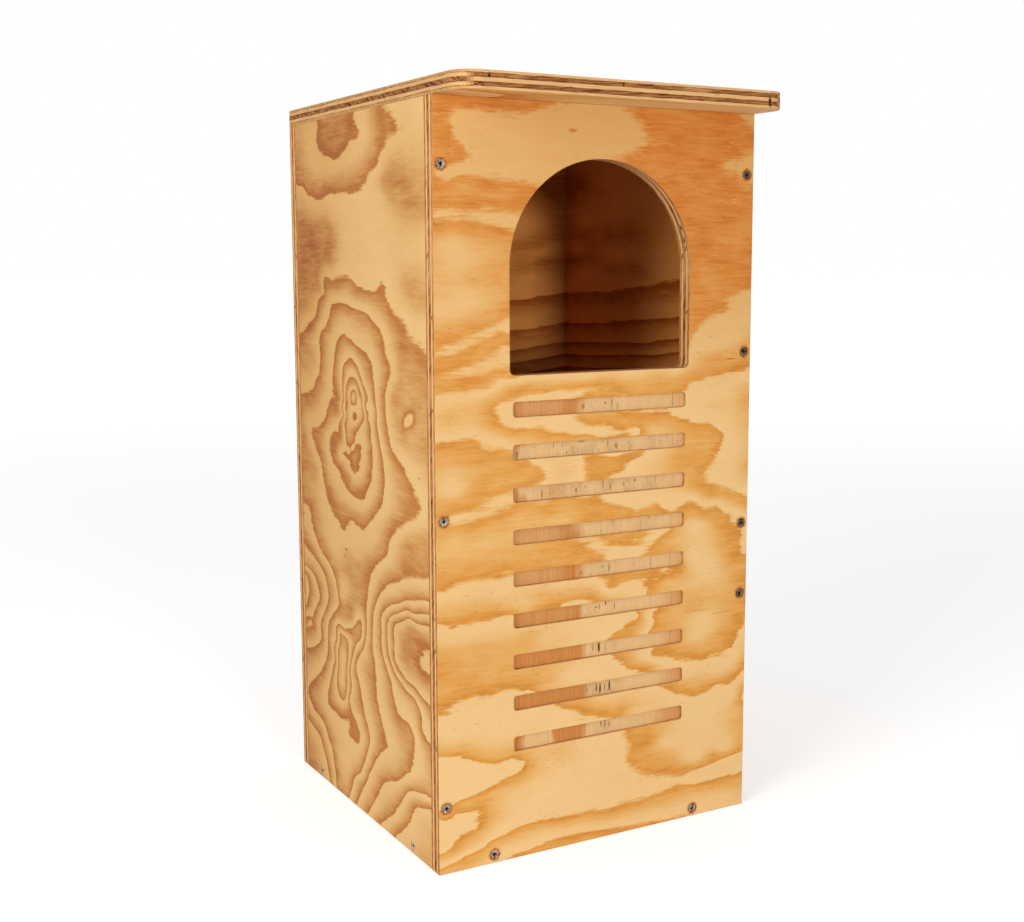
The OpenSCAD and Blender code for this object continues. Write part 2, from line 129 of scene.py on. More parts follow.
FRONT_MARKS = [
    # the big loop on the right: its crisp outer edge
    (5, [(164, 247), (157, 252), (155, 258), (157, 266), (153, 275), (148, 281), (143, 285),
         (134, 291), (119, 297), (104, 300.5), (87, 302), (68, 301), (46, 302.5), (31, 304),
         (16, 309), (2, 313), (-4, 318)]),
    (5, [(164, 187), (160, 180), (156, 173), (152, 165), (147, 159), (141, 156), (130, 154.5),
         (115, 154), (98, 155), (84, 157.5), (72, 163), (60, 171.5), (54, 182), (53, 189), (57, 199),
         (59, 206), (55, 217), (50, 226), (49, 232), (52, 237), (40, 239.5), (20, 239), (5, 242),
         (-4, 247), (20, 253), (48, 260), (55, 268), (65, 275), (75, 281), (60, 289), (20, 294),
         (-8, 300)]),
    (4.15, [(115, 190), (105, 283), (115, 240), (100, 250)]),
    (4.3, [(103, 176), (128, 232), (120, 255), (97, 275)]),
    (4.55, [(128, 181), (93, 185), (78, 267), (90, 230), (120, 275)]),
    (4.72, [(75, 200), (110, 210), (140, 209), (68, 230), (80, 264), (100, 205), (85, 172)]),
    (4.88, [(142, 172), (150, 190), (100, 162), (122, 161), (65, 190), (64, 232), (146, 245),
            (140, 262), (130, 280), (62, 268), (112, 292), (95, 296), (60, 298), (25, 302),
            (154, 222), (40, 243), (90, 243), (158, 200), (135, 285), (160, 236)]),
    # orange belt left of it, between the first and second pale strips
    (4.86, [(-20, 308), (-60, 308), (-100, 306), (-118, 303), (-80, 314), (0, 307), (-40, 316)]),
    (4.55, [(-150, 294), (-120, 288), (-140, 284), (-40, 299), (-80, 298)]),
    (4.93, [(-155, 304)]),
    (4.88, [(-110, 268), (-140, 266), (-60, 268), (-80, 264), (-35, 264), (-155, 260), (-60, 276)]),
    (5, [(-164, 251.5), (-152, 254), (-140, 257.6), (-120, 259), (-92, 260), (-60, 259), (-30, 260),
         (0, 261), (-8, 268), (-22, 276), (-30, 283)]),
    (5.14, [(-150, 248), (-120, 252), (-95, 252), (20, 270), (-5, 275), (35, 264), (20, 230),
            (35, 226), (5, 232), (-40, 244), (-100, 246)]),
    # small feathered patch between the fourth and fifth grooves
    (5, [(-2, 282), (14, 277.5), (14, 274), (24, 272), (35, 272), (33, 276), (36, 279), (26, 281.5)]),
    (4.94, [(20, 278), (29, 275.5), (8, 281)]),
    # pale strip above the loop, then the shoulder
    (5.13, [(20, 316), (60, 313), (100, 309), (130, 301), (150, 292), (160, 280), (160, 262),
            (-20, 325), (-60, 322), (-110, 321), (-150, 312), (-128, 313), (-95, 326)]),
    (5.35, [(30, 325), (50, 345), (60, 350), (-30, 345), (-45, 340), (-35, 352), (88, 314)]),
    (5.6, [(68, 340), (-100, 232), (-60, 238), (50, 375), (70, 373), (-150, 234), (-30, 236),
           (-80, 224)]),
    (5.85, [(98, 325), (104, 335), (100, 350), (112, 360), (98, 372), (84, 345), (120, 355),
            (120, 310), (141, 305), (158, 298), (60, 384), (90, 376), (112, 370), (20, 388), (5, 390),
            (-12, 389), (104, 318), (126, 362)]),
    (6, [(-109, 404.5), (-108.5, 400), (-106, 394), (-105, 390), (-99, 387), (-85, 384), (-72, 383.3),
         (-61, 382.5), (-60, 380.5), (-50, 378), (-39, 377), (-25, 374.4), (-6, 372), (20, 371),
         (42, 373.5), (30, 378), (0, 384), (-20, 387), (-23, 391), (-15, 394.5), (20, 394), (43, 392),
         (62, 389), (81, 385), (93.5, 380.5), (106, 377.7), (118.5, 375), (130, 370), (134, 365),
         (133.5, 360), (130, 354), (123.5, 346), (117, 340), (111, 334), (110, 329), (113.5, 324),
         (123.5, 317.5), (137, 312.5), (151, 309), (164, 302.5)]),
    (6, [(-108, 406.5), (-100, 409), (-88, 412.7), (-73, 414.5), (-60, 415.5), (-44, 417), (-20, 418),
         (0, 417.5), (12, 416), (8, 413), (-5, 411), (-20, 408), (0, 402), (40, 400), (80, 403),
         (91, 412), (98, 417.5), (106, 419.5), (120, 422), (140, 425), (164, 427)]),
    (6.16, [(-95, 400), (-95, 392), (-70, 388), (-50, 384), (-30, 381), (0, 378.5), (105, 405),
            (105, 390), (125, 400), (125, 385), (140, 365), (145, 350), (135, 335), (125, 326),
            (145, 320), (-70, 410), (-40, 412), (-100, 404), (150, 418), (120, 415)]),
    (6.72, [(156, 396), (162, 388), (160, 404), (160, 332), (163, 326)]),
    (6.45, [(146, 398), (152, 332), (125, 395)]),
    (5.85, [(30, 413), (60, 414), (90, 421), (100, 424), (130, 432), (155, 436), (60, 420),
            (-95, 417), (-80, 419), (-115, 404), (-113, 395), (-90, 380), (-70, 379), (-45, 374),
            (-110, 388)]),
    (5.58, [(-150, 403), (-135, 400), (-150, 394), (-120, 408), (-125, 396), (-60, 423), (-20, 422)]),
    (5.15, [(-150, 416), (-130, 417), (-110, 421), (-90, 426), (-60, 428), (-20, 429), (30, 429),
            (80, 429), (-150, 381), (-130, 382), (-112, 375), (-100, 372), (-85, 366), (-75, 360),
            (-55, 345), (-55, 335), (-20, 366)]),
    # the closed orange field at the left, pale in its middle
    (5, [(-164, 375.5), (-150, 376), (-137, 376.5), (-127, 375), (-123, 371), (-118, 368),
         (-105, 366.5), (-97, 366), (-91, 363), (-85, 358), (-73, 351), (-66, 347), (-59, 341),
         (-65, 337.5), (-75, 335), (-85, 333.5), (-95, 331.5), (-104, 330), (-112, 329), (-119, 327),
         (-123, 323), (-130, 319), (-140, 318), (-152, 316), (-164, 315)]),
    (4.2, [(-146, 337), (-150, 342)]),
    (4.5, [(-155, 352), (-138, 345), (-150, 330), (-162, 340)]),
    (4.86, [(-120, 355), (-100, 350), (-80, 346), (-145, 370), (-128, 335), (-150, 322), (-115, 340),
            (-135, 362), (-100, 338), (-125, 366), (-72, 341)]),
    # patch under the second groove
    (5, [(44, 356), (36, 350), (24, 346), (21, 340), (11, 338.5), (3, 334.5), (-13, 336), (-15, 345),
         (-14, 355)]),
    (4.92, [(0, 345), (12, 350), (-6, 350), (28, 353), (2, 339)]),
    # bands left of the entrance
    (5, [(-164, 420.5), (-150, 420.7), (-140, 421.5), (-128, 422.3), (-119, 425), (-110, 427.5),
         (-98, 428.8)]),
    (4.93, [(-150, 423.3), (-128, 425.5), (-110, 430), (-98, 431)]),
    (5, [(-164, 428), (-140, 429.5), (-115, 433), (-98, 434)]),
    (5.13, [(-150, 433), (-120, 438), (-100, 442), (-135, 434), (-100, 450)]),
    (5, [(-164, 435.3), (-152, 437.5), (-140, 441), (-127, 444), (-117, 449), (-108, 455),
         (-98, 458.3), (-93, 459)]),
    (4.93, [(-150, 441), (-130, 447.5), (-115, 453.5), (-103, 459.5)]),
    (5, [(-164, 444), (-148, 448), (-130, 452.5), (-115, 459), (-100, 465)]),
    (5.13, [(-152, 455), (-135, 461), (-115, 467), (-98, 472)]),
    (5, [(-164, 453), (-156, 458.5), (-147, 461.5), (-137, 466.5), (-122, 469.5), (-112, 474),
         (-100, 479.5), (-93, 482.5)]),
    (4.9, [(-155, 464), (-140, 470), (-120, 475.5), (-100, 486)]),
    (4.5, [(-155, 478), (-135, 482), (-115, 490), (-150, 500), (-160, 530)]),
    (4.25, [(-155, 490), (-140, 525), (-150, 540), (-135, 497)]),
    (4.68, [(-115, 510), (-100, 508), (-125, 513), (-105, 530), (-100, 540)]),
    (4.8, [(-155, 551), (-130, 549), (-105, 547)]),
    (5, [(-164, 557), (-152, 558), (-140, 558.5), (-128, 558), (-116, 556), (-106, 553.5), (-97, 551)]),
    (5.13, [(-150, 564), (-120, 564), (-95, 562)]),
    (5, [(-164, 569), (-152, 571), (-140, 572.6), (-116, 572.5), (-100, 571), (-85, 570)]),
    (4.9, [(-150, 577), (-125, 580), (-100, 578), (-85, 580), (-150, 586), (-120, 585)]),
    (5, [(-164, 594), (-140, 594.5), (-120, 592), (-100, 590), (-80, 588), (-68, 586)]),
    # the pale field across the top left
    (5.2, [(-130, 605), (-100, 603), (-60, 610), (-30, 625), (0, 630), (30, 630), (-100, 630),
           (-130, 640), (-60, 645), (0, 648), (-20, 613), (-100, 618), (-150, 597),
           (-139, 640), (-137, 630), (-130, 621), (-126, 611), (-138, 602)]),
    (5, [(-150, 641), (-146, 634), (-152, 627), (-139, 620), (-150, 615), (-134, 610), (-147, 605),
         (-164, 600), (-164, 642)]),
    (4.92, [(-160, 632), (-158, 618), (-155, 608)]),
    (5, [(-164, 652), (-130, 652.5), (-95, 651), (-70, 654), (-50, 659)]),
    (4.94, [(-150, 657), (-110, 657), (-80, 659)]),
    # the orange field at the upper right, with two pale inlets
    (5, [(34, 662), (40, 652), (50, 645), (62, 640), (66, 634), (54, 631), (60, 627), (50, 622),
         (38, 618), (27, 616), (15, 613), (0, 612)]),
    (4.9, [(60, 650), (80, 625), (70, 610), (90, 600), (50, 612), (100, 580), (110, 540), (100, 500),
           (130, 560), (150, 540), (120, 520), (105, 485), (97, 470), (155, 575), (100, 640),
           (120, 650), (96, 540), (140, 515)]),
    (5, [(138, 661), (148, 655), (155, 648), (160, 643), (164, 641)]),
    (5.14, [(160, 655), (152, 661)]),
    (4.97, [(150, 640), (136, 648), (155, 630), (130, 635), (115, 600), (100, 610), (135, 575)]),
    (4.78, [(150, 558), (135, 545), (125, 500), (90, 655)]),
    (5, [(164, 632), (152, 630), (140, 625), (130, 621), (122, 618), (116, 615), (120, 610),
         (130, 607), (138, 604), (142, 598), (151, 593), (164, 590)]),
    (5.12, [(150, 615), (158, 603), (135, 613), (158, 622)]),
    (5, [(164, 505), (150, 501), (144, 497), (133, 494), (134, 486), (125, 482), (116, 478),
         (106, 472), (98, 465), (94, 458)]),
    (5.2, [(150, 488), (130, 470), (110, 460), (155, 470), (140, 455), (120, 450), (100, 446)]),
    (5.6, [(150, 446), (158, 450), (120, 440)]),
    # the two rings that sweep under the loop
    (5.16, [(120, 147), (100, 145), (150, 149), (75, 152)]),
    (5.5, [(110, 136), (130, 134), (148, 138), (158, 149), (90, 136)]),
    (5.9, [(120, 126), (98, 127), (82, 131), (140, 129), (152, 134), (161, 143)]),
    (6, [(164, 136), (155, 130.5), (150, 127), (145.5, 124), (140, 124), (133, 125.5), (124, 124),
         (118, 121), (110, 120), (102, 120.5), (93, 121.5), (85, 124), (78, 128), (70, 132),
         (62, 136), (58, 147), (50, 150), (40, 152.5), (31, 156), (21, 163), (12, 170), (8, 178),
         (8, 186), (14, 190), (22, 196), (32, 200), (41, 204), (26, 212), (8, 219), (-8, 223),
         (-15, 226), (-28, 227.5), (-38, 226), (-47, 223), (-70, 221), (-90, 221), (-110, 220.5),
         (-130, 220), (-150, 221), (-164, 223.5)]),
    (5.9, [(35, 190), (20, 188), (35, 197), (27, 166), (38, 158), (52, 153), (16, 174)]),
    (5.15, [(54, 196), (50, 190), (48, 165), (58, 160), (52, 205)]),
    (5.8, [(-130, 228), (-150, 229), (-110, 231), (-50, 230), (-5, 229)]),
    (6.14, [(-150, 213), (-120, 212), (-95, 212), (-20, 205), (10, 206), (-28, 223), (0, 198),
            (-20, 195), (-10, 160), (0, 165), (15, 155), (-30, 158), (30, 203)]),
    (6.42, [(-60, 206), (-40, 195), (-35, 168), (20, 130), (40, 128), (50, 118), (0, 132), (35, 112),
            (60, 120), (-60, 196)]),
    (6.7, [(-120, 198), (-90, 196), (-140, 185), (-100, 180), (-70, 168), (-55, 158), (-60, 152),
           (-110, 190), (-75, 198)]),
    (6.82, [(-130, 170), (-150, 178), (-110, 165), (-90, 162), (-75, 160), (-155, 162), (-100, 172),
            (-160, 195)]),
    (6.15, [(100, 110), (130, 112), (141, 117), (150, 112), (80, 116), (100, 98), (120, 95)]),
    (6.3, [(70, 80), (100, 75), (120, 65), (130, 82), (140, 60), (105, 55), (95, 62)]),
    (6.78, [(157, 110), (162, 95), (160, 75), (160, 62), (163, 118)]),
    # the outer ring round the pale field at the bottom
    (7, [(-164, 143), (-157, 149), (-145, 153.5), (-133, 156), (-125, 154), (-116, 153), (-104, 155),
         (-92, 156), (-81, 154), (-71, 151), (-64, 146), (-50, 137), (-45, 133), (-38, 130),
         (-30, 127), (-21, 122.6), (-12, 118.5), (-5, 116.5), (3, 114), (12, 111.5), (20, 107),
         (26, 101), (29, 95), (32, 88), (35, 82), (31, 76), (31, 70), (38, 63), (50, 56), (64, 49),
         (80, 45), (98, 43), (115, 46), (130, 49), (145, 51), (164, 54)]),
    (6.9, [(-20, 129), (0, 122), (15, 116), (-35, 133), (42, 90), (45, 78), (42, 70), (55, 92),
           (60, 64), (80, 52), (100, 49), (130, 56), (25, 118), (55, 82)]),
    (6.55, [(75, 90), (70, 72), (85, 64), (35, 120)]),
    (7.12, [(-130, 140), (-100, 145), (-80, 130), (-120, 125), (-60, 120), (-40, 110), (-20, 105),
            (-140, 130), (-10, 90), (10, 85), (20, 72), (-20, 65), (0, 50), (-40, 60), (-60, 45),
            (10, 40), (-80, 40), (30, 50), (50, 42), (-10, 34)]),
    (7.42, [(-60, 88), (-40, 80), (-70, 68), (-30, 92), (-120, 112), (-150, 116), (-95, 60)]),
    (7.55, [(-65, 80), (-50, 95), (-75, 98)]),
    # pale fingers at the lower left
    (8, [(-164, 107), (-150, 105), (-133, 99), (-116, 93), (-104, 91), (-93, 93), (-84, 90),
         (-79, 85), (-84, 79), (-95, 75), (-112, 70.5), (-126, 67.5), (-140, 65), (-152, 60.7),
         (-164, 58)]),
    (8.14, [(-150, 90), (-120, 84), (-100, 84), (-150, 72), (-130, 78)]),
    (7.8, [(-130, 103), (-105, 96), (-85, 97), (-72, 87), (-80, 74), (-110, 66), (-145, 110),
           (-140, 59), (-160, 54)]),
    (8, [(-164, 52), (-150, 52), (-135, 52), (-123, 50), (-128, 43), (-124, 38), (-137, 33),
         (-150, 26), (-164, 19)]),
    (8.12, [(-150, 40), (-155, 30), (-140, 44)]),
    (7.7, [(-110, 48), (-115, 36), (-128, 26), (-145, 18)]),
    # the two rings along the bottom
    (7, [(-164, 6), (-152, 8.5), (-140, 12.5), (-116, 19.5), (-95, 25), (-84, 28), (-76, 29.5),
         (-62, 29.3), (-50, 28.5), (-35, 27), (-21, 26.5), (0, 25), (15, 25), (41, 26), (60, 29),
         (74, 31), (98, 31), (122, 31), (145, 32), (164, 33)]),
    (6.86, [(-140, 8), (-116, 15), (-95, 21), (-76, 25.5), (-50, 24.5), (-21, 22.5), (7, 20.5),
            (41, 22), (74, 26), (98, 27), (122, 27), (150, 27)]),
    (7.25, [(70, 38), (100, 37), (130, 39), (155, 42)]),
    (6.35, [(-100, 12), (-60, 17), (-20, 15), (20, 13), (60, 14), (100, 15), (140, 15)]),
    (6, [(-100, 0), (-76, 5), (-60, 7.5), (-45, 9.3), (-30, 9.3), (-15, 8), (3, 6.5), (20, 5),
         (34, 3.8), (74, 1.5), (100, 0)]),
    (5.9, [(-60, 3), (-35, 5), (0, 2)]),
]
# (softness 0..1, across, up, reach in mm): where a ring's edge is blurred
FRONT_SOFT = [
    (1.0, -110, 318, 40), (1.0, -145, 306, 25), (0.8, -20, 275, 22), (1.0, -130, 432, 30),
    (1.0, -130, 454, 26), (1.0, -120, 592, 30), (0.9, -15, 345, 9),
    (0.8, -30, 414, 34), (0.6, 120, 318, 16), (0.5, -60, 280, 30), (0.5, -120, 655, 50),
    (0.4, 10, 290, 30), (0.5, 40, 40, 40),
    (0.9, 60, 630, 30), (0.9, 130, 610, 35), (0.8, 110, 475, 30), (0.7, 150, 495, 25),
]
# (warmth 0..1, across, up, reach in mm): how brown the wood is there
FRONT_WARM = [
    (0.95, 110, 600, 90), (1.0, 150, 640, 45), (0.85, 130, 520, 70), (0.92, -40, 640, 120),
    (0.62, -140, 600, 60), (0.42, -140, 500, 70), (0.25, 0, 360, 110), (0.3, 120, 400, 60),
    (0.3, -130, 290, 60), (0.28, 30, 250, 80), (0.3, 130, 200, 60), (0.22, -20, 110, 110),
    (0.1, -120, 60, 80), (0.22, 120, 60, 70), (0.35, -120, 190, 60), (0.4, -140, 360, 40),
    (0.6, 120, 440, 30),
]

LEFT_MARKS = [
    # the knot: an eye, a small dark lobe under it and the drop-shaped ring round both
    (0.22, [(10, 401), (8, 403), (12, 399)]),
    (1, [(10, 408), (17, 404), (18, 399), (12, 394), (5, 394), (2, 398), (3, 404)]),
    (1, [(13, 386.5), (12, 380.5), (7, 379), (2, 383), (2, 386.5), (7, 388)]),
    (0.85, [(7, 383.5)]),
    (1.14, [(14, 391), (8, 391.3), (2, 391), (17, 386), (-2, 386)]),
    (1.3, [(22, 388), (22, 376), (-4, 398)]),
    (1.6, [(24, 364), (13, 371)]),
    (2, [(10, 420), (20, 418), (27, 411), (30, 400), (31, 388), (32, 376), (31, 364), (28, 354),
         (21, 352), (15, 356), (9, 362), (2, 370), (-6, 376), (-13, 380), (-16, 386), (-12, 392),
         (-11, 400), (-6, 409), (0, 416)]),
    # the dark patch in the lobe below
    (2, [(36, 343.5), (27, 347), (18, 350.5), (9, 355), (0, 357), (-5, 352), (-5.5, 345), (0, 340),
         (0, 333), (8, 330.5), (17, 331), (20, 338), (27, 341)]),
    (1.85, [(14, 346), (10, 338), (3, 349)]),
    (2.1, [(24, 349.6), (14, 354.4), (6, 359), (34, 372), (34.5, 388), (34, 350), (44, 345), (-10, 352),
           (-10, 362), (-6, 370), (10, 325), (27, 336), (-6, 336)]),
    (2.55, [(50, 348), (38, 335), (22, 325), (5, 320), (-10, 325), (-18, 338), (-20, 352), (-19, 366)]),
    (2.9, [(58, 352), (50, 358), (42, 360), (60, 344), (45, 330), (33, 321), (15, 312), (0, 311),
           (-15, 318), (-25, 335), (-28, 350), (-27, 365), (-23, 382)]),
    (3, [(15, 437), (25, 434), (33, 429), (36, 420), (37, 408), (36.5, 395), (37.5, 385), (42, 377),
         (48, 368), (60, 363), (68, 358), (71, 350), (68, 340), (62, 333), (52, 328), (42, 320),
         (33, 313), (20, 307), (5, 306), (-8, 307), (-15, 311), (-22, 320), (-30, 332), (-33, 345),
         (-32.5, 358), (-29.5, 370), (-27, 380), (-24, 388), (-18, 394), (-23, 400), (-22, 406),
         (-15, 413), (-8, 421), (0, 430), (7, 434)]),
    (3.12, [(-25, 394), (-31, 390)]),
    (4, [(-27, 440), (-15, 445), (0, 449), (20, 455), (30, 458), (40, 456), (47, 452), (54, 440),
         (57, 430), (60, 420), (60, 405), (57, 397), (65, 393), (72, 388), (78, 380), (85, 372),
         (95, 366), (105, 362), (119, 355), (113, 348), (106, 340), (98, 333), (93, 325), (90, 315),
         (86, 307), (82, 299), (77, 292), (70, 286), (62, 283), (48, 274), (40, 271), (33, 275),
         (20, 283), (0, 280), (-10, 280), (-18, 283), (-30, 292), (-45, 303), (-52, 309), (-55, 318),
         (-57, 345), (-50, 362), (-43, 382), (-41, 400), (-38, 418), (-32, 436)]),
    (5, [(149, 391), (135, 394), (125, 396), (113, 402), (105, 410), (97, 416), (93, 430), (92, 440),
         (94, 446), (88, 459), (82, 461), (70, 470), (65, 476), (58, 485), (50, 486), (35, 487),
         (20, 486), (0, 483), (-15, 481), (-25, 479), (-40, 472), (-55, 465), (-60, 455), (-68, 440),
         (-74, 433), (-66, 417), (-62, 400), (-66, 380), (-75, 362), (-92, 352), (-106, 343),
         (-118, 332), (-125, 323), (-132, 317), (-115, 308), (-100, 300), (-82, 291), (-68, 280),
         (-60, 264), (-42, 253), (-25, 240), (-18, 226), (-13, 210), (-12, 185), (-8, 170), (2, 158),
         (14, 145), (10, 130), (2, 112), (-6, 95), (-15, 77), (-10, 65), (-2, 52), (8, 38), (25, 27),
         (33, 12), (42, 0)]),
    (4.7, [(12, 218), (20, 228), (8, 205), (30, 240), (5, 235)]),
    (4.25, [(40, 258), (10, 262), (60, 245), (-30, 275)]),
    # the left branch of that ring and the enclosed rings under it
    (5, [(149, 282), (130, 277), (124, 262), (114, 250), (100, 238), (80, 230), (66, 220), (58, 204),
         (56, 195), (70, 182), (85, 168), (88, 150), (90, 135), (105, 115), (125, 101), (146, 82),
         (130, 66), (105, 60), (90, 45), (82, 38), (78, 28), (72, 0)]),
    (4, [(0, 188), (15, 183), (30, 175), (45, 172), (65, 160), (70, 135), (80, 115), (90, 95),
         (87, 82), (70, 80), (40, 83), (35, 68), (25, 65), (12, 66), (8, 72), (20, 88), (33, 105),
         (30, 135), (18, 158), (2, 172)]),
    (3, [(55, 165), (38, 163), (36, 140), (42, 105), (50, 98), (62, 102), (66, 115), (62, 140)]),
    (2.3, [(50, 130), (50, 118), (50, 145)]),
    (4.75, [(33, 198), (40, 190), (24, 188)]),
    (4.3, [(60, 40), (40, 30), (100, 80), (55, 60), (50, 205)]),
    # rings above and below
    (6, [(149, 453), (135, 457), (120, 465), (103, 472), (97, 484), (90, 491), (80, 504), (60, 507),
         (40, 510), (30, 511), (20, 511), (0, 505), (-20, 501), (-40, 499), (-60, 506), (-66, 494),
         (-80, 482), (-95, 476), (-106, 470), (-105, 456), (-125, 453), (-149, 447)]),
    (5.55, [(120, 440), (110, 430), (0, 492), (50, 497)]),
    (6.25, [(-80, 520), (-40, 530), (20, 545), (-60, 580), (0, 575), (60, 578), (110, 580), (20, 525),
            (-120, 535), (-20, 560), (-149, 540), (130, 592)]),
    (6.8, [(60, 530), (90, 545), (120, 520), (140, 500), (140, 545), (120, 560), (100, 515),
           (75, 555), (55, 545), (147, 485)]),
    (6.5, [(40, 535), (45, 560), (85, 500)]),
    (6.72, [(-70, 590), (-100, 600), (-130, 585), (-140, 570), (-110, 575), (-80, 605), (-125, 500),
            (-140, 495), (-115, 505)]),
    (6.35, [(-50, 600), (-149, 615), (-90, 560), (-149, 475), (-120, 620)]),
    (6, [(149, 603), (138, 600), (120, 593), (100, 588), (90, 586), (60, 589), (30, 591), (10, 588),
         (-5, 590), (-20, 596), (-33, 604), (-50, 610), (-55, 617), (-68, 627), (-90, 638),
         (-75, 641), (-80, 647), (-63, 660)]),
    (5, [(85, 660), (90, 645), (80, 629), (60, 624), (43, 621), (25, 627), (5, 635), (-12, 639),
         (-2, 652), (2, 660)]),
    (4.75, [(50, 645), (30, 650), (60, 655)]),
    (5.5, [(0, 612), (60, 606), (110, 610), (130, 640)]),
    (6.2, [(-110, 650), (-130, 640), (-149, 655)]),
    (5.74, [(-100, 425), (-125, 405), (-140, 420), (-95, 445), (-120, 440), (-105, 375), (-140, 370),
            (-80, 405), (-98, 393), (-127, 390), (-112, 401), (-112, 381)]),
    (6.3, [(-112, 391), (-109, 389), (-115, 393)]),
    (4.55, [(120, 330), (130, 300), (110, 320), (140, 370), (135, 350)]),
    (5.75, [(-110, 285), (-130, 275), (-140, 290), (-100, 275)]),
    (6, [(-149, 262), (-125, 258), (-95, 249), (-65, 238), (-42, 222), (-28, 200), (-25, 180),
         (-32, 150), (-35, 120), (-50, 95), (-55, 82), (-40, 72), (-25, 57), (-12, 42), (2, 25),
         (22, 0)]),
    (6, [(149, 238), (120, 229), (98, 220), (85, 203), (84, 193), (95, 178), (107, 160), (105, 150),
         (120, 137), (149, 127)]),
    (6, [(149, 52), (130, 47), (115, 42), (98, 22), (88, 0)]),
    (7, [(-149, 240), (-115, 234), (-85, 224), (-60, 215), (-48, 205), (-47, 190), (-52, 165),
         (-67, 148), (-70, 138), (-82, 121), (-108, 116), (-115, 110), (-113, 90), (-105, 75),
         (-85, 61), (-65, 53), (-45, 44), (-32, 28), (-15, 10), (-5, 0)]),
    (7, [(149, 215), (135, 214), (112, 200), (107, 190), (118, 178), (140, 163), (149, 160)]),
    (7, [(149, 148), (138, 152), (130, 157), (138, 159)]),
    (8, [(-149, 228), (-115, 222), (-78, 213), (-60, 198), (-60, 185), (-70, 163), (-90, 152),
         (-115, 146), (-130, 136), (-133, 121), (-149, 113)]),
    (8, [(-149, 65), (-125, 62), (-100, 54), (-84, 38), (-68, 22), (-45, 7), (-35, 0)]),
    (8, [(149, 207), (137, 195), (142, 180), (149, 172)]),
    (9, [(-149, 218), (-110, 216), (-78, 204), (-75, 190), (-78, 168), (-100, 158), (-130, 152),
         (-149, 147)]),
    (9, [(-149, 55), (-120, 47), (-108, 34), (-95, 19), (-78, 7), (-70, 0)]),
    (9.8, [(-120, 190), (-100, 190), (-125, 205), (-120, 172)]),
    (10, [(-149, 197), (-133, 188), (-128, 182), (-149, 176)]),
    (9.5, [(-140, 20), (-120, 10)]),
]
LEFT_SOFT = [
    (1.0, 60, 530, 25), (0.8, -60, 600, 30), (0.8, -130, 585, 40), (0.7, -125, 500, 25),
    (1.0, -115, 425, 40), (0.8, 15, 225, 22), (1.0, -120, 280, 30), (0.6, 120, 330, 30),
    (0.5, 130, 510, 30),
]
LEFT_WARM = [
    (0.95, 110, 530, 45), (0.9, 50, 645, 40), (0.8, -110, 590, 45), (0.75, -120, 190, 40),
    (0.35, 10, 560, 70), (0.5, -125, 410, 45), (0.55, 15, 345, 35), (0.4, 110, 620, 50),
    (0.22, 50, 120, 60), (0.3, -90, 90, 60), (0.3, 90, 250, 60), (0.4, 20, 220, 35),
    (0.4, 60, 420, 60), (0.4, -60, 310, 60), (0.1, 40, 30, 60), (0.45, -120, 280, 40),
]
# painted shade: how much warmer and browner each mm towards the back edge is, for light that falls off there
LEFT_SHADE_RISE = 1 / 380

# the cross ply that the grooves lay bare; its grain runs up the board, so these marks are
# (ring count, places across and up in mm) with the pale wood to the right
GROOVE_MARKS = [
    (2.96, [(-88, 179), (-60, 179), (-30, 179), (-88, 142), (-60, 142), (-28, 142), (-35, 105),
            (-26, 105), (-90, 216), (-90, 401)]),
    (2.85, [(-80, 216), (-50, 216), (-33, 216)]),
    (2.74, [(-80, 401), (-60, 401), (-45, 401), (-86, 253), (-60, 252), (-45, 253)]),
    (2.68, [(-86, 290), (-60, 290), (-45, 290)]),
    (3, [(-30, 401), (-32, 290), (-29, 253), (-23, 216), (-20, 179), (-18, 142), (-18, 105),
         (-47, 105), (-83, 105), (-95, 364), (-95, 327), (-92, 383), (-92, 309)]),
    (2.92, [(-90, 105)]),
    (3.1, [(-65, 105), (-55, 105), (-70, 364), (-40, 364), (-70, 327), (-20, 327), (-15, 401),
           (-18, 290), (-15, 253), (-10, 216), (-8, 179), (-6, 142), (-6, 105)]),
    (3.2, [(0, 364), (0, 327), (20, 401), (20, 290), (20, 253), (20, 216), (20, 179), (20, 142),
           (20, 105)]),
    (3.25, [(60, 401), (60, 364), (60, 327), (60, 290), (60, 253), (60, 216), (60, 179), (60, 142),
            (50, 105)]),
    (3.5, [(86, 401), (86, 253)]),
    (3.72, [(87, 216), (87, 179), (87, 142), (78, 105), (87, 105)]),
    (3.5, [(-55, 327), (-40, 329)]),
]
GROOVE_SOFT = [(1.0, -31, 401, 12), (1.0, -31, 290, 12), (1.0, -28, 253, 12)]
